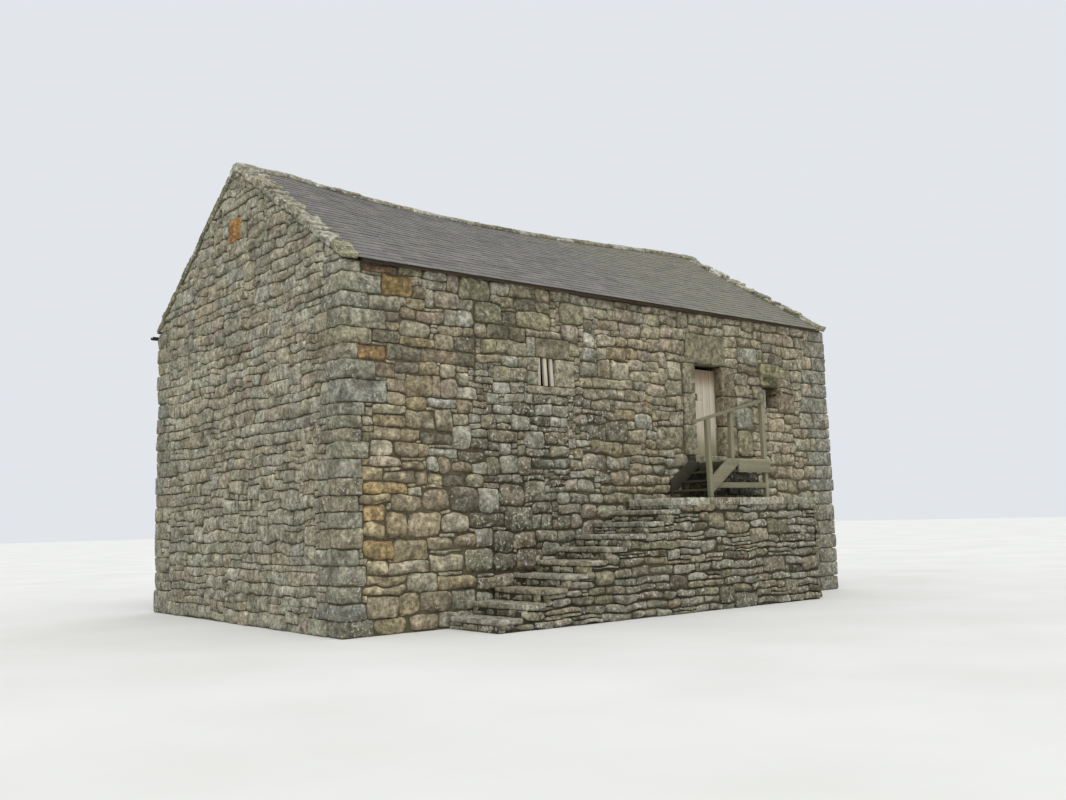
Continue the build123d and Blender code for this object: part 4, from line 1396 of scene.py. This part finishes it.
byre_stones = Piece("byre_door_dressings")
for node in ("byre_door_jambs", "byre_door_lintel"):
    for low, high in islands(node):
        high = high + np.array([batter_at(low[2], high[2]) + RNG.uniform(0.0, 0.012), 0, 0])
        points, faces, wear = worn_block(low, high, radius=0.022, step=0.09, swell=0.005)
        byre_stones.add(points, faces, choose({"grey_green": 0.5, "buff": 0.5}), wear, RNG.uniform(0.3, 0.6))
byre_stones.build(dressed, replaces=("byre_door_jambs", "byre_door_lintel"))

# Walls of rubble
LEFT_GABLE_STONES = [(WIDTH - 3.73, WIDTH - 3.3, 6.13, 6.53, "amber")]


def rubble_wall(name, wall, *looks, **options):
    """A piece with the rubble of one wall."""
    piece = Piece(name)
    lay_wall(piece, wall, *looks, **options)
    piece.build(rubble)


rubble_wall(
    "front_rubble", walls["front"], front_tint, front_lichen, front_rounding, front_stain_and_shadow,
    named=NAMED_STONES, barriers=[STRAIGHT_JOINT], zones=[SMALL_STONES, FOOTING_STONES],
)
rubble_wall(
    "rear_rubble", walls["rear"], gable_tint, gable_lichen, even(SQUARED),
    spacing=PLAIN, coursed=True, widths=(4, 12),
)
for side, named, spacing in (("left", LEFT_GABLE_STONES, FINE), ("right", (), PLAIN)):
    rubble_wall(
        f"{side}_gable_rubble", walls[side], gable_tint, gable_lichen, even(SQUARED),
        top_line=gable_top, named=named, void=above_gable, spacing=spacing, upright=0.4,
        widths=(3, 11), heights=(2, 6),
    )


def reveal_stones(piece, x, facing, low, high, depth):
    """Rubble on one side of the small window's opening."""
    face = Face((x, depth if facing < 0 else 0, low), (0, facing, 0), (facing, 0, 0))
    rows = round((high - low) / ROW)
    columns = round(depth / FRONT_COLUMN)
    row = (high - low) / rows
    for left, right, bottom, top in lay_stones(np.ones((rows, columns), bool), widths=(3, columns)):
        sides = (left * depth / columns, right * depth / columns)
        outline = stone_outline(*sides, bottom * row, top * row, 0.6)
        tint = choose({"brown": 0.6, "tan": 0.4})
        add_rubble_stone(piece, face, outline, tint, lichen=0.2, proud=-0.008, rounding=0.6)


# Cores of the walls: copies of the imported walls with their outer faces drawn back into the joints


def recessed_core(node, moves, material):
    """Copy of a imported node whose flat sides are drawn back; moves are (axis, place, amount)."""
    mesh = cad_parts[node].data.copy()
    for vertex in mesh.vertices:
        place = np.array(vertex.co) - CORNER
        for axis, at, amount in moves:
            if abs(place[axis] - at) < 1e-3:
                vertex.co[axis] += amount
    place_piece(f"{node}_core", mesh, material, (node,))


outer_faces = [
    (0, 0.0, CORE_RECESS),
    (0, LENGTH, -CORE_RECESS),
    (1, 0.0, CORE_RECESS),
    (1, WIDTH, -CORE_RECESS),
]
small_window_sides = [(0, frame_low[0], -REVEAL_RECESS), (0, frame_high[0], REVEAL_RECESS)]
for level in ("lower", "upper"):
    for side in ("front_wall", "rear_wall", "left_gable", "right_gable"):
        node = f"{level}_{side}"
        moves = outer_faces + small_window_sides * (node == "upper_front_wall")
        recessed_core(node, moves, mortar)

reveals = Piece("small_window_reveals")
for x, facing in ((frame_low[0], 1), (frame_high[0], -1)):
    reveal_stones(reveals, x, facing, frame_low[2], frame_high[2], frame_low[1])
reveals.build(rubble)

# Roof


def sag(x):
    """How far the ridge hangs below its straight line at x."""
    run = np.clip((x - UPPER_WALL) / (LENGTH - 2 * UPPER_WALL), 0, 1)
    return RIDGE_SAG * np.sin(np.pi * run**SAG_SKEW)


def roof_places(x, along, depth, at_rear=False, sagging=True):
    """Points on a slope: along it from the wall head, and depth above its underside."""
    rise = SLOPE - (sag(x) / HALF_WIDTH if sagging else 0)
    angle = np.arctan(rise)
    y = along * np.cos(angle) - depth * np.sin(angle)
    z = WALL_HEAD + along * np.sin(angle) + depth * np.cos(angle)
    return np.column_stack([x, WIDTH - y if at_rear else y, z])


def flipped(faces, at_rear):
    """Faces turned round where the piece is mirrored to the rear slope."""
    return [np.asarray(group)[:, ::-1] for group in faces] if at_rear else faces


SLATE_SHADES = ((114, 110, 107), (110, 107, 104), (117, 113, 106), (112, 109, 103), (107, 103, 100))
SLATE_COLOURS = [srgb(*shade) for shade in SLATE_SHADES]


def add_slate(piece, left, right, tail, head, at_rear):
    """One slate, thin, with a ragged tail that lies on the course below."""
    skewed = RNG.uniform(-0.004, 0.004)
    x = np.linspace(left + SLATE_GAP / 2, right - SLATE_GAP / 2, 4)
    lift = RNG.uniform(-0.001, 0.002)
    rows = []
    for share in (0.0, 0.5, 1.0):
        along = np.full(4, tail + (head - tail) * share)
        if share == 0:
            along += [RNG.uniform(-0.006, 0.006) for place in x]
        rows.append((x + skewed * (1 - share), along, np.full(4, SLATE_SHEET + lift - SLATE_TILT * share)))
    # The underside's edge at the tail and at the head
    rows.append((x + skewed, rows[0][1] + 0.001, np.full(4, SLATE_SHEET + lift - SLATE_TAIL)))
    rows.append((x, np.full(4, head), np.full(4, SLATE_SHEET - SLATE_TILT - SLATE_TAIL)))
    points = np.vstack([roof_places(*row, at_rear) for row in rows])
    quads = [(a, a + 1, a + 5, a + 4) for a in (0, 1, 2, 4, 5, 6)]
    quads += [(12 + i, 13 + i, i + 1, i) for i in range(3)]
    quads += [(12, 0, 4, 8), (3, 15, 19, 11)]
    threes = [(12, 8, 16), (11, 7, 3)]
    # Wear is 0 on the underside, where the slate material paints shade
    wear = np.concatenate([np.full(4, 0.9), np.ones(8), np.zeros(8)])
    tint = RNG.choice(SLATE_COLOURS) * RNG.uniform(0.92, 1.08)
    growth = 0.2 + 0.55 * float(smooth((left + right) / 2, 2.5, 8.0)) + RNG.uniform(-0.05, 0.05)
    piece.add(points, flipped([quads, threes], at_rear), tint, wear, moss=growth)


def slate_slope(name, at_rear):
    """Courses of slates from the eave to the ridge, narrower towards the top."""
    piece = Piece(name)
    shares = np.linspace(0, 1, SLATE_COURSES + 1)
    start = -EAVE_OVERHANG / math.cos(PITCH)
    total = HALF_WIDTH / math.cos(PITCH) - start
    tails = start + total * ((1 + SLATE_NARROWING) * shares - SLATE_NARROWING * shares**2)
    for tail, next_tail in zip(tails, tails[1:]):
        head = min(next_tail + SLATE_LAP, start + total - 0.01)
        x = SLATES_START - RNG.uniform(0, 0.12)
        while x < LENGTH - SLATES_START:
            width = RNG.uniform(*SLATE_WIDTHS)
            left = max(x, SLATES_START)
            right = min(x + width, LENGTH - SLATES_START)
            if right - left > NARROWEST_SLATE:
                add_slate(piece, left, right, tail + RNG.uniform(-0.004, 0.004), head, at_rear)
            x += width
    piece.build(slate, flat=True)


def roof_boarding(node, at_rear):
    """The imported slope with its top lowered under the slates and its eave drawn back."""
    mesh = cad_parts[node].data.copy()
    for vertex in mesh.vertices:
        x, y, z = np.array(vertex.co) - CORNER
        run = WIDTH - y if at_rear else y
        rise = SLOPE - sag(x) / HALF_WIDTH
        above = (z - WALL_HEAD - rise * run) * math.cos(math.atan(rise))
        if above > SLATE_SHEET / 2:
            vertex.co[2] -= BOARDING_DROP
        if run < 0:
            vertex.co[1] += -EAVE_SETBACK if at_rear else EAVE_SETBACK
            vertex.co[2] += EAVE_SETBACK * rise
    place_piece(f"{node}_boarding", mesh, roof_wood_x, (node,))


slate_slope("front_slate_courses", False)
slate_slope("rear_slate_courses", True)
roof_boarding("front_slates", False)
roof_boarding("rear_slates", True)

COPING_COLOURS = {"pale": 0.4, "grey_green": 0.25, "buff": 0.2, "dark": 0.1, "moss": 0.05}
REAR_COPING_COLOURS = {"dark": 0.5, "moss": 0.5}
KNEELER_COLOURS = {"tan": 0.4, "moss": 0.6}
SKEW_TOP = SLATE_SHEET + 0.06
# Where a kneeler ends and the next stone starts, and how far the saddle reaches down from the ridge
KNEELER = 0.34
SLOPE_START = 0.35
SADDLE_HALF = 0.2
SADDLE_REACH = 0.205
COPING_GAP = 0.004
# Lengths of the slope's coping stones, and the shortest left for the last
COPING_LENGTHS = (0.14, 0.4)
SHORTEST_COPING = 0.15


def coping_stone(piece, x0, x1, start, end, top, at_rear, weights, moss=0.0, flat_foot=False):
    """Stone on the slope of a gable, square to it; those at the rear are straighter and darker."""
    radius = RNG.uniform(0.015, 0.032)
    swell = 0.012 if at_rear else 0.035
    low, high = (x0, start, 0.0), (x1, end, top)
    points, faces, wear = worn_block(low, high, radius, step=0.055, swell=swell, size=0.1)
    tilt = RNG.uniform(-0.08, 0.08)
    slant = RNG.uniform(-0.01, 0.01) if at_rear else RNG.uniform(-0.12, 0.12)
    upper = np.clip(points[:, 2] / top, 0, 1)
    depth = points[:, 2] + upper * tilt * (points[:, 0] - (x0 + x1) / 2)
    depth += upper * slant * (points[:, 1] - (start + end) / 2)
    placed = roof_places(points[:, 0], points[:, 1], depth, at_rear, False)
    if flat_foot:
        placed[:, 2] = np.maximum(placed[:, 2], WALL_HEAD + 0.004)
    tint = choose(weights) * (0.95 if at_rear else 1.2)
    piece.add(placed, flipped(faces, at_rear), tint, wear, RNG.uniform(0.6, 1.0), moss)


def v_stone(piece, x0, x1, half, bottom, top, tint, lichen, sagging):
    """Stone bent over the ridge or over the point of a gable."""
    low, high = (x0, -half, bottom), (x1, half, top)
    points, faces, wear = worn_block(low, high, radius=0.018, step=0.12, swell=0.01, size=0.12)
    across = points[:, 1]
    fall = np.sqrt(across**2 + 0.012**2)
    rise = SLOPE - (sag(points[:, 0]) / HALF_WIDTH if sagging else 0)
    z = WALL_HEAD + rise * (HALF_WIDTH - fall) + points[:, 2] / np.cos(np.arctan(rise))
    placed = np.column_stack([points[:, 0], HALF_WIDTH + across, z])
    piece.add(placed, faces, tint, wear, lichen)


def gable_coping(name, x0, x1, nodes):
    """Kneelers, slope stones and the saddle of one gable; stones wander more on the front slope."""
    piece = Piece(name)
    end_of_slope = (HALF_WIDTH - SADDLE_REACH) / math.cos(PITCH)
    foot = -0.03 / math.cos(PITCH)
    foot_x1 = x1 - (0.035 if x0 > 0 else SKEW_TAPER)
    for at_rear in (False, True):
        coping_stone(
            piece, x0 + 0.015, foot_x1, foot, KNEELER, SKEW_TOP - 0.025, at_rear,
            KNEELER_COLOURS, moss=0.35, flat_foot=True,
        )
        start = SLOPE_START
        while start < end_of_slope - 0.1:
            end = start + RNG.uniform(*COPING_LENGTHS)
            if end_of_slope - end < SHORTEST_COPING:
                end = end_of_slope
            taper = SKEW_TAPER * max(0.0, 1 - start / 2)
            left = x0 + (RNG.uniform(0.0, 0.012) if at_rear else RNG.uniform(-0.01, 0.03))
            right = x1 + (RNG.uniform(-0.02, 0.0) if at_rear else RNG.uniform(-0.05, 0.012))
            if x0 < 0:
                right -= taper
            else:
                left += taper
            top = SKEW_TOP + (RNG.uniform(-0.012, 0.0) if at_rear else RNG.uniform(-0.05, 0.02))
            weights = REAR_COPING_COLOURS if at_rear else COPING_COLOURS
            ends = (start + COPING_GAP, end - COPING_GAP)
            coping_stone(piece, left, right, *ends, top, at_rear, weights, 0.6 * at_rear)
            start = end
    tint = choose(COPING_COLOURS)
    v_stone(piece, x0, x1, SADDLE_HALF, 0.0, SKEW_TOP, tint, lichen=0.8, sagging=False)
    piece.build(coping, replaces=nodes)


COPING_OVERHANG = 0.03
gable_coping("left_gable_coping", -COPING_OVERHANG, SKEW_WIDTH, ("left_skews", "kneelers"))
gable_coping(
    "right_gable_coping", LENGTH - SKEW_WIDTH, LENGTH + COPING_OVERHANG, ("right_skews", "saddle_stones")
)

# Half the ridge stones' width, and how far they reach below and above the top of the slates
RIDGE_HALF = 0.17
RIDGE_SEAT = 0.006
RIDGE_RISE = 0.045
RIDGE_GAP = 0.003
RIDGE_LENGTHS = (0.4, 0.6)
SHORTEST_RIDGE = 0.35
# Where the ridge is pinker, along it
PINK_RIDGE = (9.3, 10.6)
ridge = Piece("ridge_capping")
x = SKEW_WIDTH
while x < LENGTH - SKEW_WIDTH - 0.05:
    end = x + RNG.uniform(*RIDGE_LENGTHS)
    if LENGTH - SKEW_WIDTH - end < SHORTEST_RIDGE:
        end = LENGTH - SKEW_WIDTH
    is_pink = PINK_RIDGE[0] < x < PINK_RIDGE[1]
    weights = {"pink": 0.6, "gold": 0.25, "pale": 0.15} if is_pink else COPING_COLOURS
    foot = SLATE_SHEET - RIDGE_SEAT
    top = SLATE_SHEET + RIDGE_RISE + RNG.uniform(-0.008, 0.006)
    tint = choose(weights)
    v_stone(ridge, x + RIDGE_GAP, end - RIDGE_GAP, RIDGE_HALF, foot, top, tint, RNG.uniform(0.5, 0.9), True)
    x = end
ridge.build(coping, replaces=("ridge_stones",))

# Forestair


core_low, core_high = house_box("forestair_core")
tread_boxes = islands("forestair_treads")
slab_boxes = islands("platform_slabs")
# How far the treads reach over the risers under them
TREAD_LAP = 0.02
stair_outline = [(low[0] + TREAD_LAP, low[2]) for low, high in [*tread_boxes, slab_boxes[0]]]
DRY_COLUMN = 0.05
DRY_ROW = 0.0195
DRY_COLOURS = {"grey_green": 0.26, "buff": 0.32, "tan": 0.1, "pale": 0.14, "dark": 0.08, "moss": 0.1}
# How much darker and warmer the dry-laid stones are than their kinds
DRY_SHADE = (0.72, 0.71, 0.69)


def dry_tint(along, up):
    """Colour of a dry-laid stone."""
    return choose(DRY_COLOURS) * DRY_SHADE


def dry_lichen(along, up):
    """Lichen of a dry-laid stone."""
    return RNG.uniform(0.35, 0.95)


dry_rows = round(core_high[2] / DRY_ROW)
front_free = np.zeros((dry_rows, round((core_high[0] - core_low[0]) / DRY_COLUMN)), bool)
for i in range(front_free.shape[1]):
    x = core_low[0] + (i + 0.5) * DRY_COLUMN
    top = max((top for start, top in stair_outline if x >= start), default=0.0)
    front_free[: round(top / DRY_ROW), i] = True
end_free = np.ones((dry_rows, round(-core_low[1] / DRY_COLUMN)), bool)
front_face = Face((core_low[0], core_low[1], 0), (1, 0, 0), (0, -1, 0))
end_face = Face((core_high[0], core_low[1], 0), (0, 1, 0), (1, 0, 0))

forestair = Piece("forestair_drystone")
for face, free, widest in ((front_face, front_free, 14), (end_face, end_free, 12)):
    lay_wall(
        forestair, Wall(face, free, DRY_COLUMN, core_high[2] / dry_rows), dry_tint, dry_lichen, even(1.15),
        sway=0.9, joint=DRY_JOINT, upright=0.3, coursed=True, widths=(4, widest), heights=(5, 8),
    )
foot = 0.0
for low, high in [*tread_boxes, slab_boxes[0]]:
    riser_face = Face((low[0] + TREAD_LAP, 0.0, foot), (0, -1, 0), (-1, 0, 0))
    row = (low[2] - foot) / 2
    free = np.ones((2, end_free.shape[1]), bool)
    for left, right, bottom, top in lay_stones(free, widths=(3, 8), heights=(1, 2)):
        outline = stone_outline(left * DRY_COLUMN, right * DRY_COLUMN, bottom * row, top * row, 0.6)
        tint = choose(DRY_COLOURS)
        add_rubble_stone(forestair, riser_face, outline, tint, RNG.uniform(0.3, 0.9), proud=0.004)
    foot = high[2]
forestair.build(drystone)
# The core shows in the open joints, coloured as painted shadow
drawn_back = [(1, core_low[1], CORE_RECESS), (0, core_high[0], -CORE_RECESS)]
recessed_core("forestair_core", drawn_back, packing_shadow)

FLAG_COLOURS = {"pale": 0.4, "buff": 0.3, "grey_green": 0.3}
# How much thicker a slab of the platform looks, where it covers the bed under it
SLAB_DROP = 0.05
slabs = Piece("forestair_flags")
for low, high in tread_boxes + slab_boxes:
    is_slab = low[2] > tread_boxes[-1][0][2]
    front = np.array([0, RNG.uniform(-0.012, 0.012), -SLAB_DROP if is_slab else 0.0])
    radius = RNG.uniform(0.016, 0.03)
    points, faces, wear = worn_block(low + front, high, radius, step=0.06, swell=0.014, size=0.12)
    slabs.add(points, faces, choose(FLAG_COLOURS), wear, RNG.uniform(0.5, 0.9), moss=0.2)
slabs.build(flags, replaces=("forestair_treads", "platform_slabs"))

# Timber


def grain_along(points, axis, start):
    """A board's own places, with the grain's direction first."""
    return points[:, [axis, (axis + 1) % 3, (axis + 2) % 3]] + start


def worn_timbers(piece, node, axis, bevel=0.004, step=0.11, sway=0.0015, shade=(0.9, 1.1), inner=1.0):
    """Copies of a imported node's timbers with worn edges, cut into short lengths that waver.

    What is nearer to the wall than the node's middle is shaded by inner as well.
    """
    work = bmesh.new()
    work.from_mesh(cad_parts[node].data)
    bmesh.ops.remove_doubles(work, verts=work.verts, dist=1e-4)
    bmesh.ops.dissolve_limit(work, angle_limit=0.01, verts=work.verts, edges=work.edges)
    bmesh.ops.bevel(
        work, geom=work.edges[:], offset=bevel, offset_type="OFFSET", segments=2, profile=0.5, affect="EDGES"
    )
    low, high = (np.array(corner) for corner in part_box(node))
    direction = [0.0, 0.0, 0.0]
    direction[axis] = 1.0
    for place in np.arange(low[axis] + step / 2, high[axis], step):
        point = list((low + high) / 2)
        point[axis] = place
        everything = work.verts[:] + work.edges[:] + work.faces[:]
        bmesh.ops.bisect_plane(work, geom=everything, plane_co=point, plane_no=direction)
    bmesh.ops.triangulate(work, faces=[face for face in work.faces if len(face.verts) > 4])
    work.verts.index_update()
    points = np.array([v.co[:] for v in work.verts]) - CORNER
    groups = [[[v.index for v in face.verts] for face in work.faces if len(face.verts) == n] for n in (4, 3)]
    work.free()
    for k in range(3):
        points[:, k] += sway * lattice_noise(points, 0.2, 50 + k)
    grain = grain_along(points, axis, RNG.uniform(0, 20))
    piece.add(points, [group for group in groups if group], (RNG.uniform(*shade),) * 3, grain=grain)
    piece.tints[-1][points[:, 1] > (low[1] + high[1]) / 2 - CORNER[1], :3] *= inner


def board(
    piece, low, high, axis, radius=0.004, swell=0.001, shade=(0.82, 1.15), lean=0.0, step=0.25, start=None
):
    """One board with its own shade, and grain that begins at start."""
    points, faces, wear = worn_block(low, high, radius, step, swell, size=0.2)
    grain = grain_along(points, axis, RNG.uniform(0, 20) if start is None else start)
    points[:, 0] += lean * (points[:, 2] - low[2])
    piece.add(points, faces, (RNG.uniform(*shade),) * 3, wear, grain=grain)


# Shades of the landing's joists and the treads: damp wood and painted shadow under the landing
DAMP_AND_SHADOW = (0.2, 0.3)
BOARD_GAP = 0.006
DECK_BOARDS = 7
# Node, axis of the grain, shades, and how much of that is left on the side towards the wall, as painted
# shade and damp
STAIR_TIMBERS = (
    ("stair_stringers", 0, (0.72, 0.78), 0.25),
    ("landing_rim_board", 0, (0.76, 0.8), 1.0),
    ("landing_joists", 1, DAMP_AND_SHADOW, 1.0),
    ("newel_post", 2, (0.82, 0.86), 1.0),
    ("middle_post", 2, (0.8, 0.85), 1.0),
    ("landing_post", 2, (0.9, 0.95), 1.0),
    ("handrail", 0, (0.68, 0.72), 1.0),
    ("lower_rail", 0, (0.7, 0.75), 1.0),
)
stair = Piece("timber_stair")
for node, axis, shade, inner in STAIR_TIMBERS:
    worn_timbers(stair, node, axis, shade=shade, inner=inner)
for low, high in islands("stair_treads"):
    split = (low[0] + high[0]) / 2
    for x0, x1 in ((low[0], split - BOARD_GAP / 2), (split + BOARD_GAP / 2, high[0])):
        board(stair, (x0, low[1], low[2]), (x1, high[1], high[2]), 1, shade=DAMP_AND_SHADOW)
deck_low, deck_high = house_box("landing_deck")
pitch = (deck_high[1] - deck_low[1]) / DECK_BOARDS
post_low, post_high = house_box("landing_post")
for i in range(DECK_BOARDS):
    y0 = deck_low[1] + i * pitch
    notch = post_low[0] - 0.002 if y0 < post_high[1] and y0 + pitch > post_low[1] else deck_high[0]
    board(stair, (deck_low[0], y0, deck_low[2]), (notch, y0 + pitch - BOARD_GAP, deck_high[2]), 0)
stair_nodes = [timber[0] for timber in STAIR_TIMBERS] + ["stair_treads", "landing_deck"]
stair.build(stair_wood, replaces=stair_nodes)

# Edges of the leaf's boards, and the board with the latch's hole, with the hole's side, foot and head
leaf_low, leaf_high = house_box("door_leaf")
DOOR_EDGES = [leaf_low[0], 7.275, 7.475, 7.655, leaf_high[0]]
LATCH_BOARD = 1
LATCH_HOLE = (7.33, 3.565, 3.69)
# Share of each colour that damp takes away at the leaf's foot and head
FOOT_DAMP = np.array([0.45, 0.4, 0.55])
HEAD_DAMP = np.array([0.5, 0.58, 0.66])
BOARD_THICKNESS = 0.04
# Places of the ledges behind the boards, as shares of the leaf's height, and half their width
LEDGES = (0.12, 0.5, 0.88)
LEDGE_HALF = 0.055
leaf_back = leaf_low[1] + BOARD_THICKNESS
door = Piece("door_boards")
for i, (x0, x1) in enumerate(zip(DOOR_EDGES, DOOR_EDGES[1:])):
    foot = leaf_low[2] + RNG.uniform(0.0, 0.012)
    shade = RNG.uniform(0.94, 1.06)
    start = RNG.uniform(0, 20)
    radius = 0.005
    lengths = [(x0, foot, leaf_high[2])]
    if i == LATCH_BOARD:
        side, hole_foot, hole_head = LATCH_HOLE
        radius = 0.002
        lengths = [
            (x0, foot, hole_foot),
            (side, hole_foot - 0.001, hole_head + 0.001),
            (x0, hole_head, leaf_high[2]),
        ]
    for left, bottom, top in lengths:
        low, high = (left + 0.003, leaf_low[1], bottom), (x1 - 0.004, leaf_back, top)
        board(door, low, high, 2, radius, swell=0.0012, shade=(shade, shade), step=0.08, start=start)
        heights = door.vertices[-1][:, 2]
        foot_damp = smooth(heights, leaf_low[2] + 0.5, leaf_low[2] + 0.1)[:, None]
        head_damp = smooth(heights, leaf_high[2] - 0.4, leaf_high[2] - 0.1)[:, None]
        door.tints[-1][:, :3] *= 1 - foot_damp * FOOT_DAMP
        door.tints[-1][:, :3] *= 1 - head_damp * HEAD_DAMP
for share in LEDGES:
    z = leaf_low[2] + (leaf_high[2] - leaf_low[2]) * share
    low, high = (leaf_low[0], leaf_back, z - LEDGE_HALF), (leaf_high[0], leaf_high[1], z + LEDGE_HALF)
    board(door, low, high, 0)
door.build(door_wood, replaces=("door_leaf",))

# Left edge, width and lean of each bar of the window
BARS = ((3.484, 0.052, -0.01), (3.612, 0.07, -0.05), (3.752, 0.058, -0.07))
BAR_FRONT = 0.03
BAR_BACK = 0.08
bar_foot = house_box("window_sill")[1][2] + 0.008
bars = Piece("window_bars")
for x0, width, leaning in BARS:
    low, high = (x0, BAR_FRONT, bar_foot), (x0 + width, BAR_BACK, window_head)
    board(bars, low, high, 2, radius=0.006, swell=0.002, shade=(0.88, 0.98), lean=leaning)
bars.build(door_wood)

FLOOR_BOARDS = 28
FLOOR_GAP = 0.005
floor_piece = Piece("floor_boarding")
floor_low, floor_high = house_box("floor_boards")
pitch = (floor_high[1] - floor_low[1]) / FLOOR_BOARDS
for i in range(FLOOR_BOARDS):
    y0 = floor_low[1] + i * pitch
    low, high = (floor_low[0], y0, floor_low[2]), (floor_high[0], y0 + pitch - FLOOR_GAP, floor_high[2])
    points, faces, wear = worn_block(low, high, radius=0.003, step=1.2, swell=0.001)
    floor_piece.add(points, faces, (RNG.uniform(0.8, 1.15),) * 3, wear, grain=points + RNG.uniform(0, 20))
floor_piece.build(floor_wood, replaces=("floor_boards",))

window_frame = Piece("small_window_frame_timber")
worn_timbers(window_frame, "small_window_frame", 2, step=0.2, sway=0.0008)
window_frame.build(paint, replaces=("small_window_frame",))

for node, material in (
    ("roof_purlins", roof_wood_x),
    ("roof_trusses", roof_wood_y),
    ("floor_beams", roof_wood_y),
    ("rear_gutter", iron),
    ("gutter_straps", iron),
):
    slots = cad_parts[node].data.materials
    for k in range(len(slots)):
        slots[k] = material

# Floor, light and camera


def floor_material():
    """Pale studio floor, a little uneven."""
    shader = Shader("pale_floor")
    patch = shader.spread(shader.noise(0.4, 3.0, 0.5), 0.3, 0.7)
    colour = shader.mix(patch, srgb(214, 214, 210), srgb(222, 222, 219))
    return shader.finish(colour, shader.bump(shader.noise(30.0), 0.001), 0.95, 0.05)


FLOOR_REACH = 150.0
corners = [(x * FLOOR_REACH, y * FLOOR_REACH, 0) for x, y in ((-1, -1), (1, -1), (1, 1), (-1, 1))]
floor_mesh = bpy.data.meshes.new("studio_floor")
floor_mesh.from_pydata(corners, [], [(0, 1, 2, 3)])
floor_mesh.materials.append(floor_material())
floor_object = new_object("studio_floor", floor_mesh)
floor_object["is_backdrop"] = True

# The sky's light, and the paler sky that the camera, gloss and glass show
SKY_LIGHT = ((0.97, 0.985, 1.0), 0.95)
SKY_SEEN = ((0.76, 0.79, 0.83), 1.0)
# The brighter part of the cloud, wide and soft
GLOW_STRENGTH = 1.2
GLOW_ANGLE = math.radians(50)
GLOW_DIRECTION = Vector((0.25, 0.6, -1.0))
world = bpy.data.worlds.new("overcast")
bpy.context.scene.world = world
world.use_nodes = True
sky = Nodes(world.node_tree)
rays = sky.add("LightPath").outputs
is_seen = rays["Is Camera Ray"]
for kind in ("Is Glossy Ray", "Is Transmission Ray"):
    is_seen = sky.math("MAXIMUM", is_seen, rays[kind])
light, seen = (sky.add("Background", inputs).outputs[0] for inputs in (SKY_LIGHT, SKY_SEEN))
blend = sky.add("MixShader", (is_seen, light, seen)).outputs[0]
sky.add("OutputWorld", (blend,))

sun = bpy.data.lights.new("sky_glow", "SUN")
sun.energy = GLOW_STRENGTH
sun.angle = GLOW_ANGLE
lamp = new_object("sky_glow", sun)
lamp.rotation_mode = "QUATERNION"
lamp.rotation_quaternion = GLOW_DIRECTION.to_track_quat("-Z", "Y")

# The photograph's viewpoint: 35 mm lens, eye height, turned to the right of the front's normal
YAW = math.radians(39.4)
TILT = math.radians(6.55)
ROLL = math.radians(-1.41)
EYE = Vector((-6.86, -12.42, 1.5)) + Vector(CORNER)
IMAGE_WIDTH = 1066
FOCAL_PIXELS = 1045
SENSOR = 36.0
forward = Vector((math.sin(YAW) * math.cos(TILT), math.cos(YAW) * math.cos(TILT), math.sin(TILT)))
level = Vector((math.cos(YAW), -math.sin(YAW), 0))
upward = level.cross(forward)
right = level * math.cos(ROLL) + upward * math.sin(ROLL)
up = -level * math.sin(ROLL) + upward * math.cos(ROLL)
camera_data = bpy.data.cameras.new("camera")
camera_data.sensor_width = SENSOR
camera_data.lens = FOCAL_PIXELS / IMAGE_WIDTH * SENSOR
camera_data.clip_end = 500
camera = new_object("camera", camera_data)
turn = Matrix((right, up, -forward)).transposed().to_4x4()
camera.matrix_world = Matrix.Translation(EYE) @ turn
bpy.context.scene.camera = camera
bpy.context.scene.view_settings.view_transform = "Standard"

low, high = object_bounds()
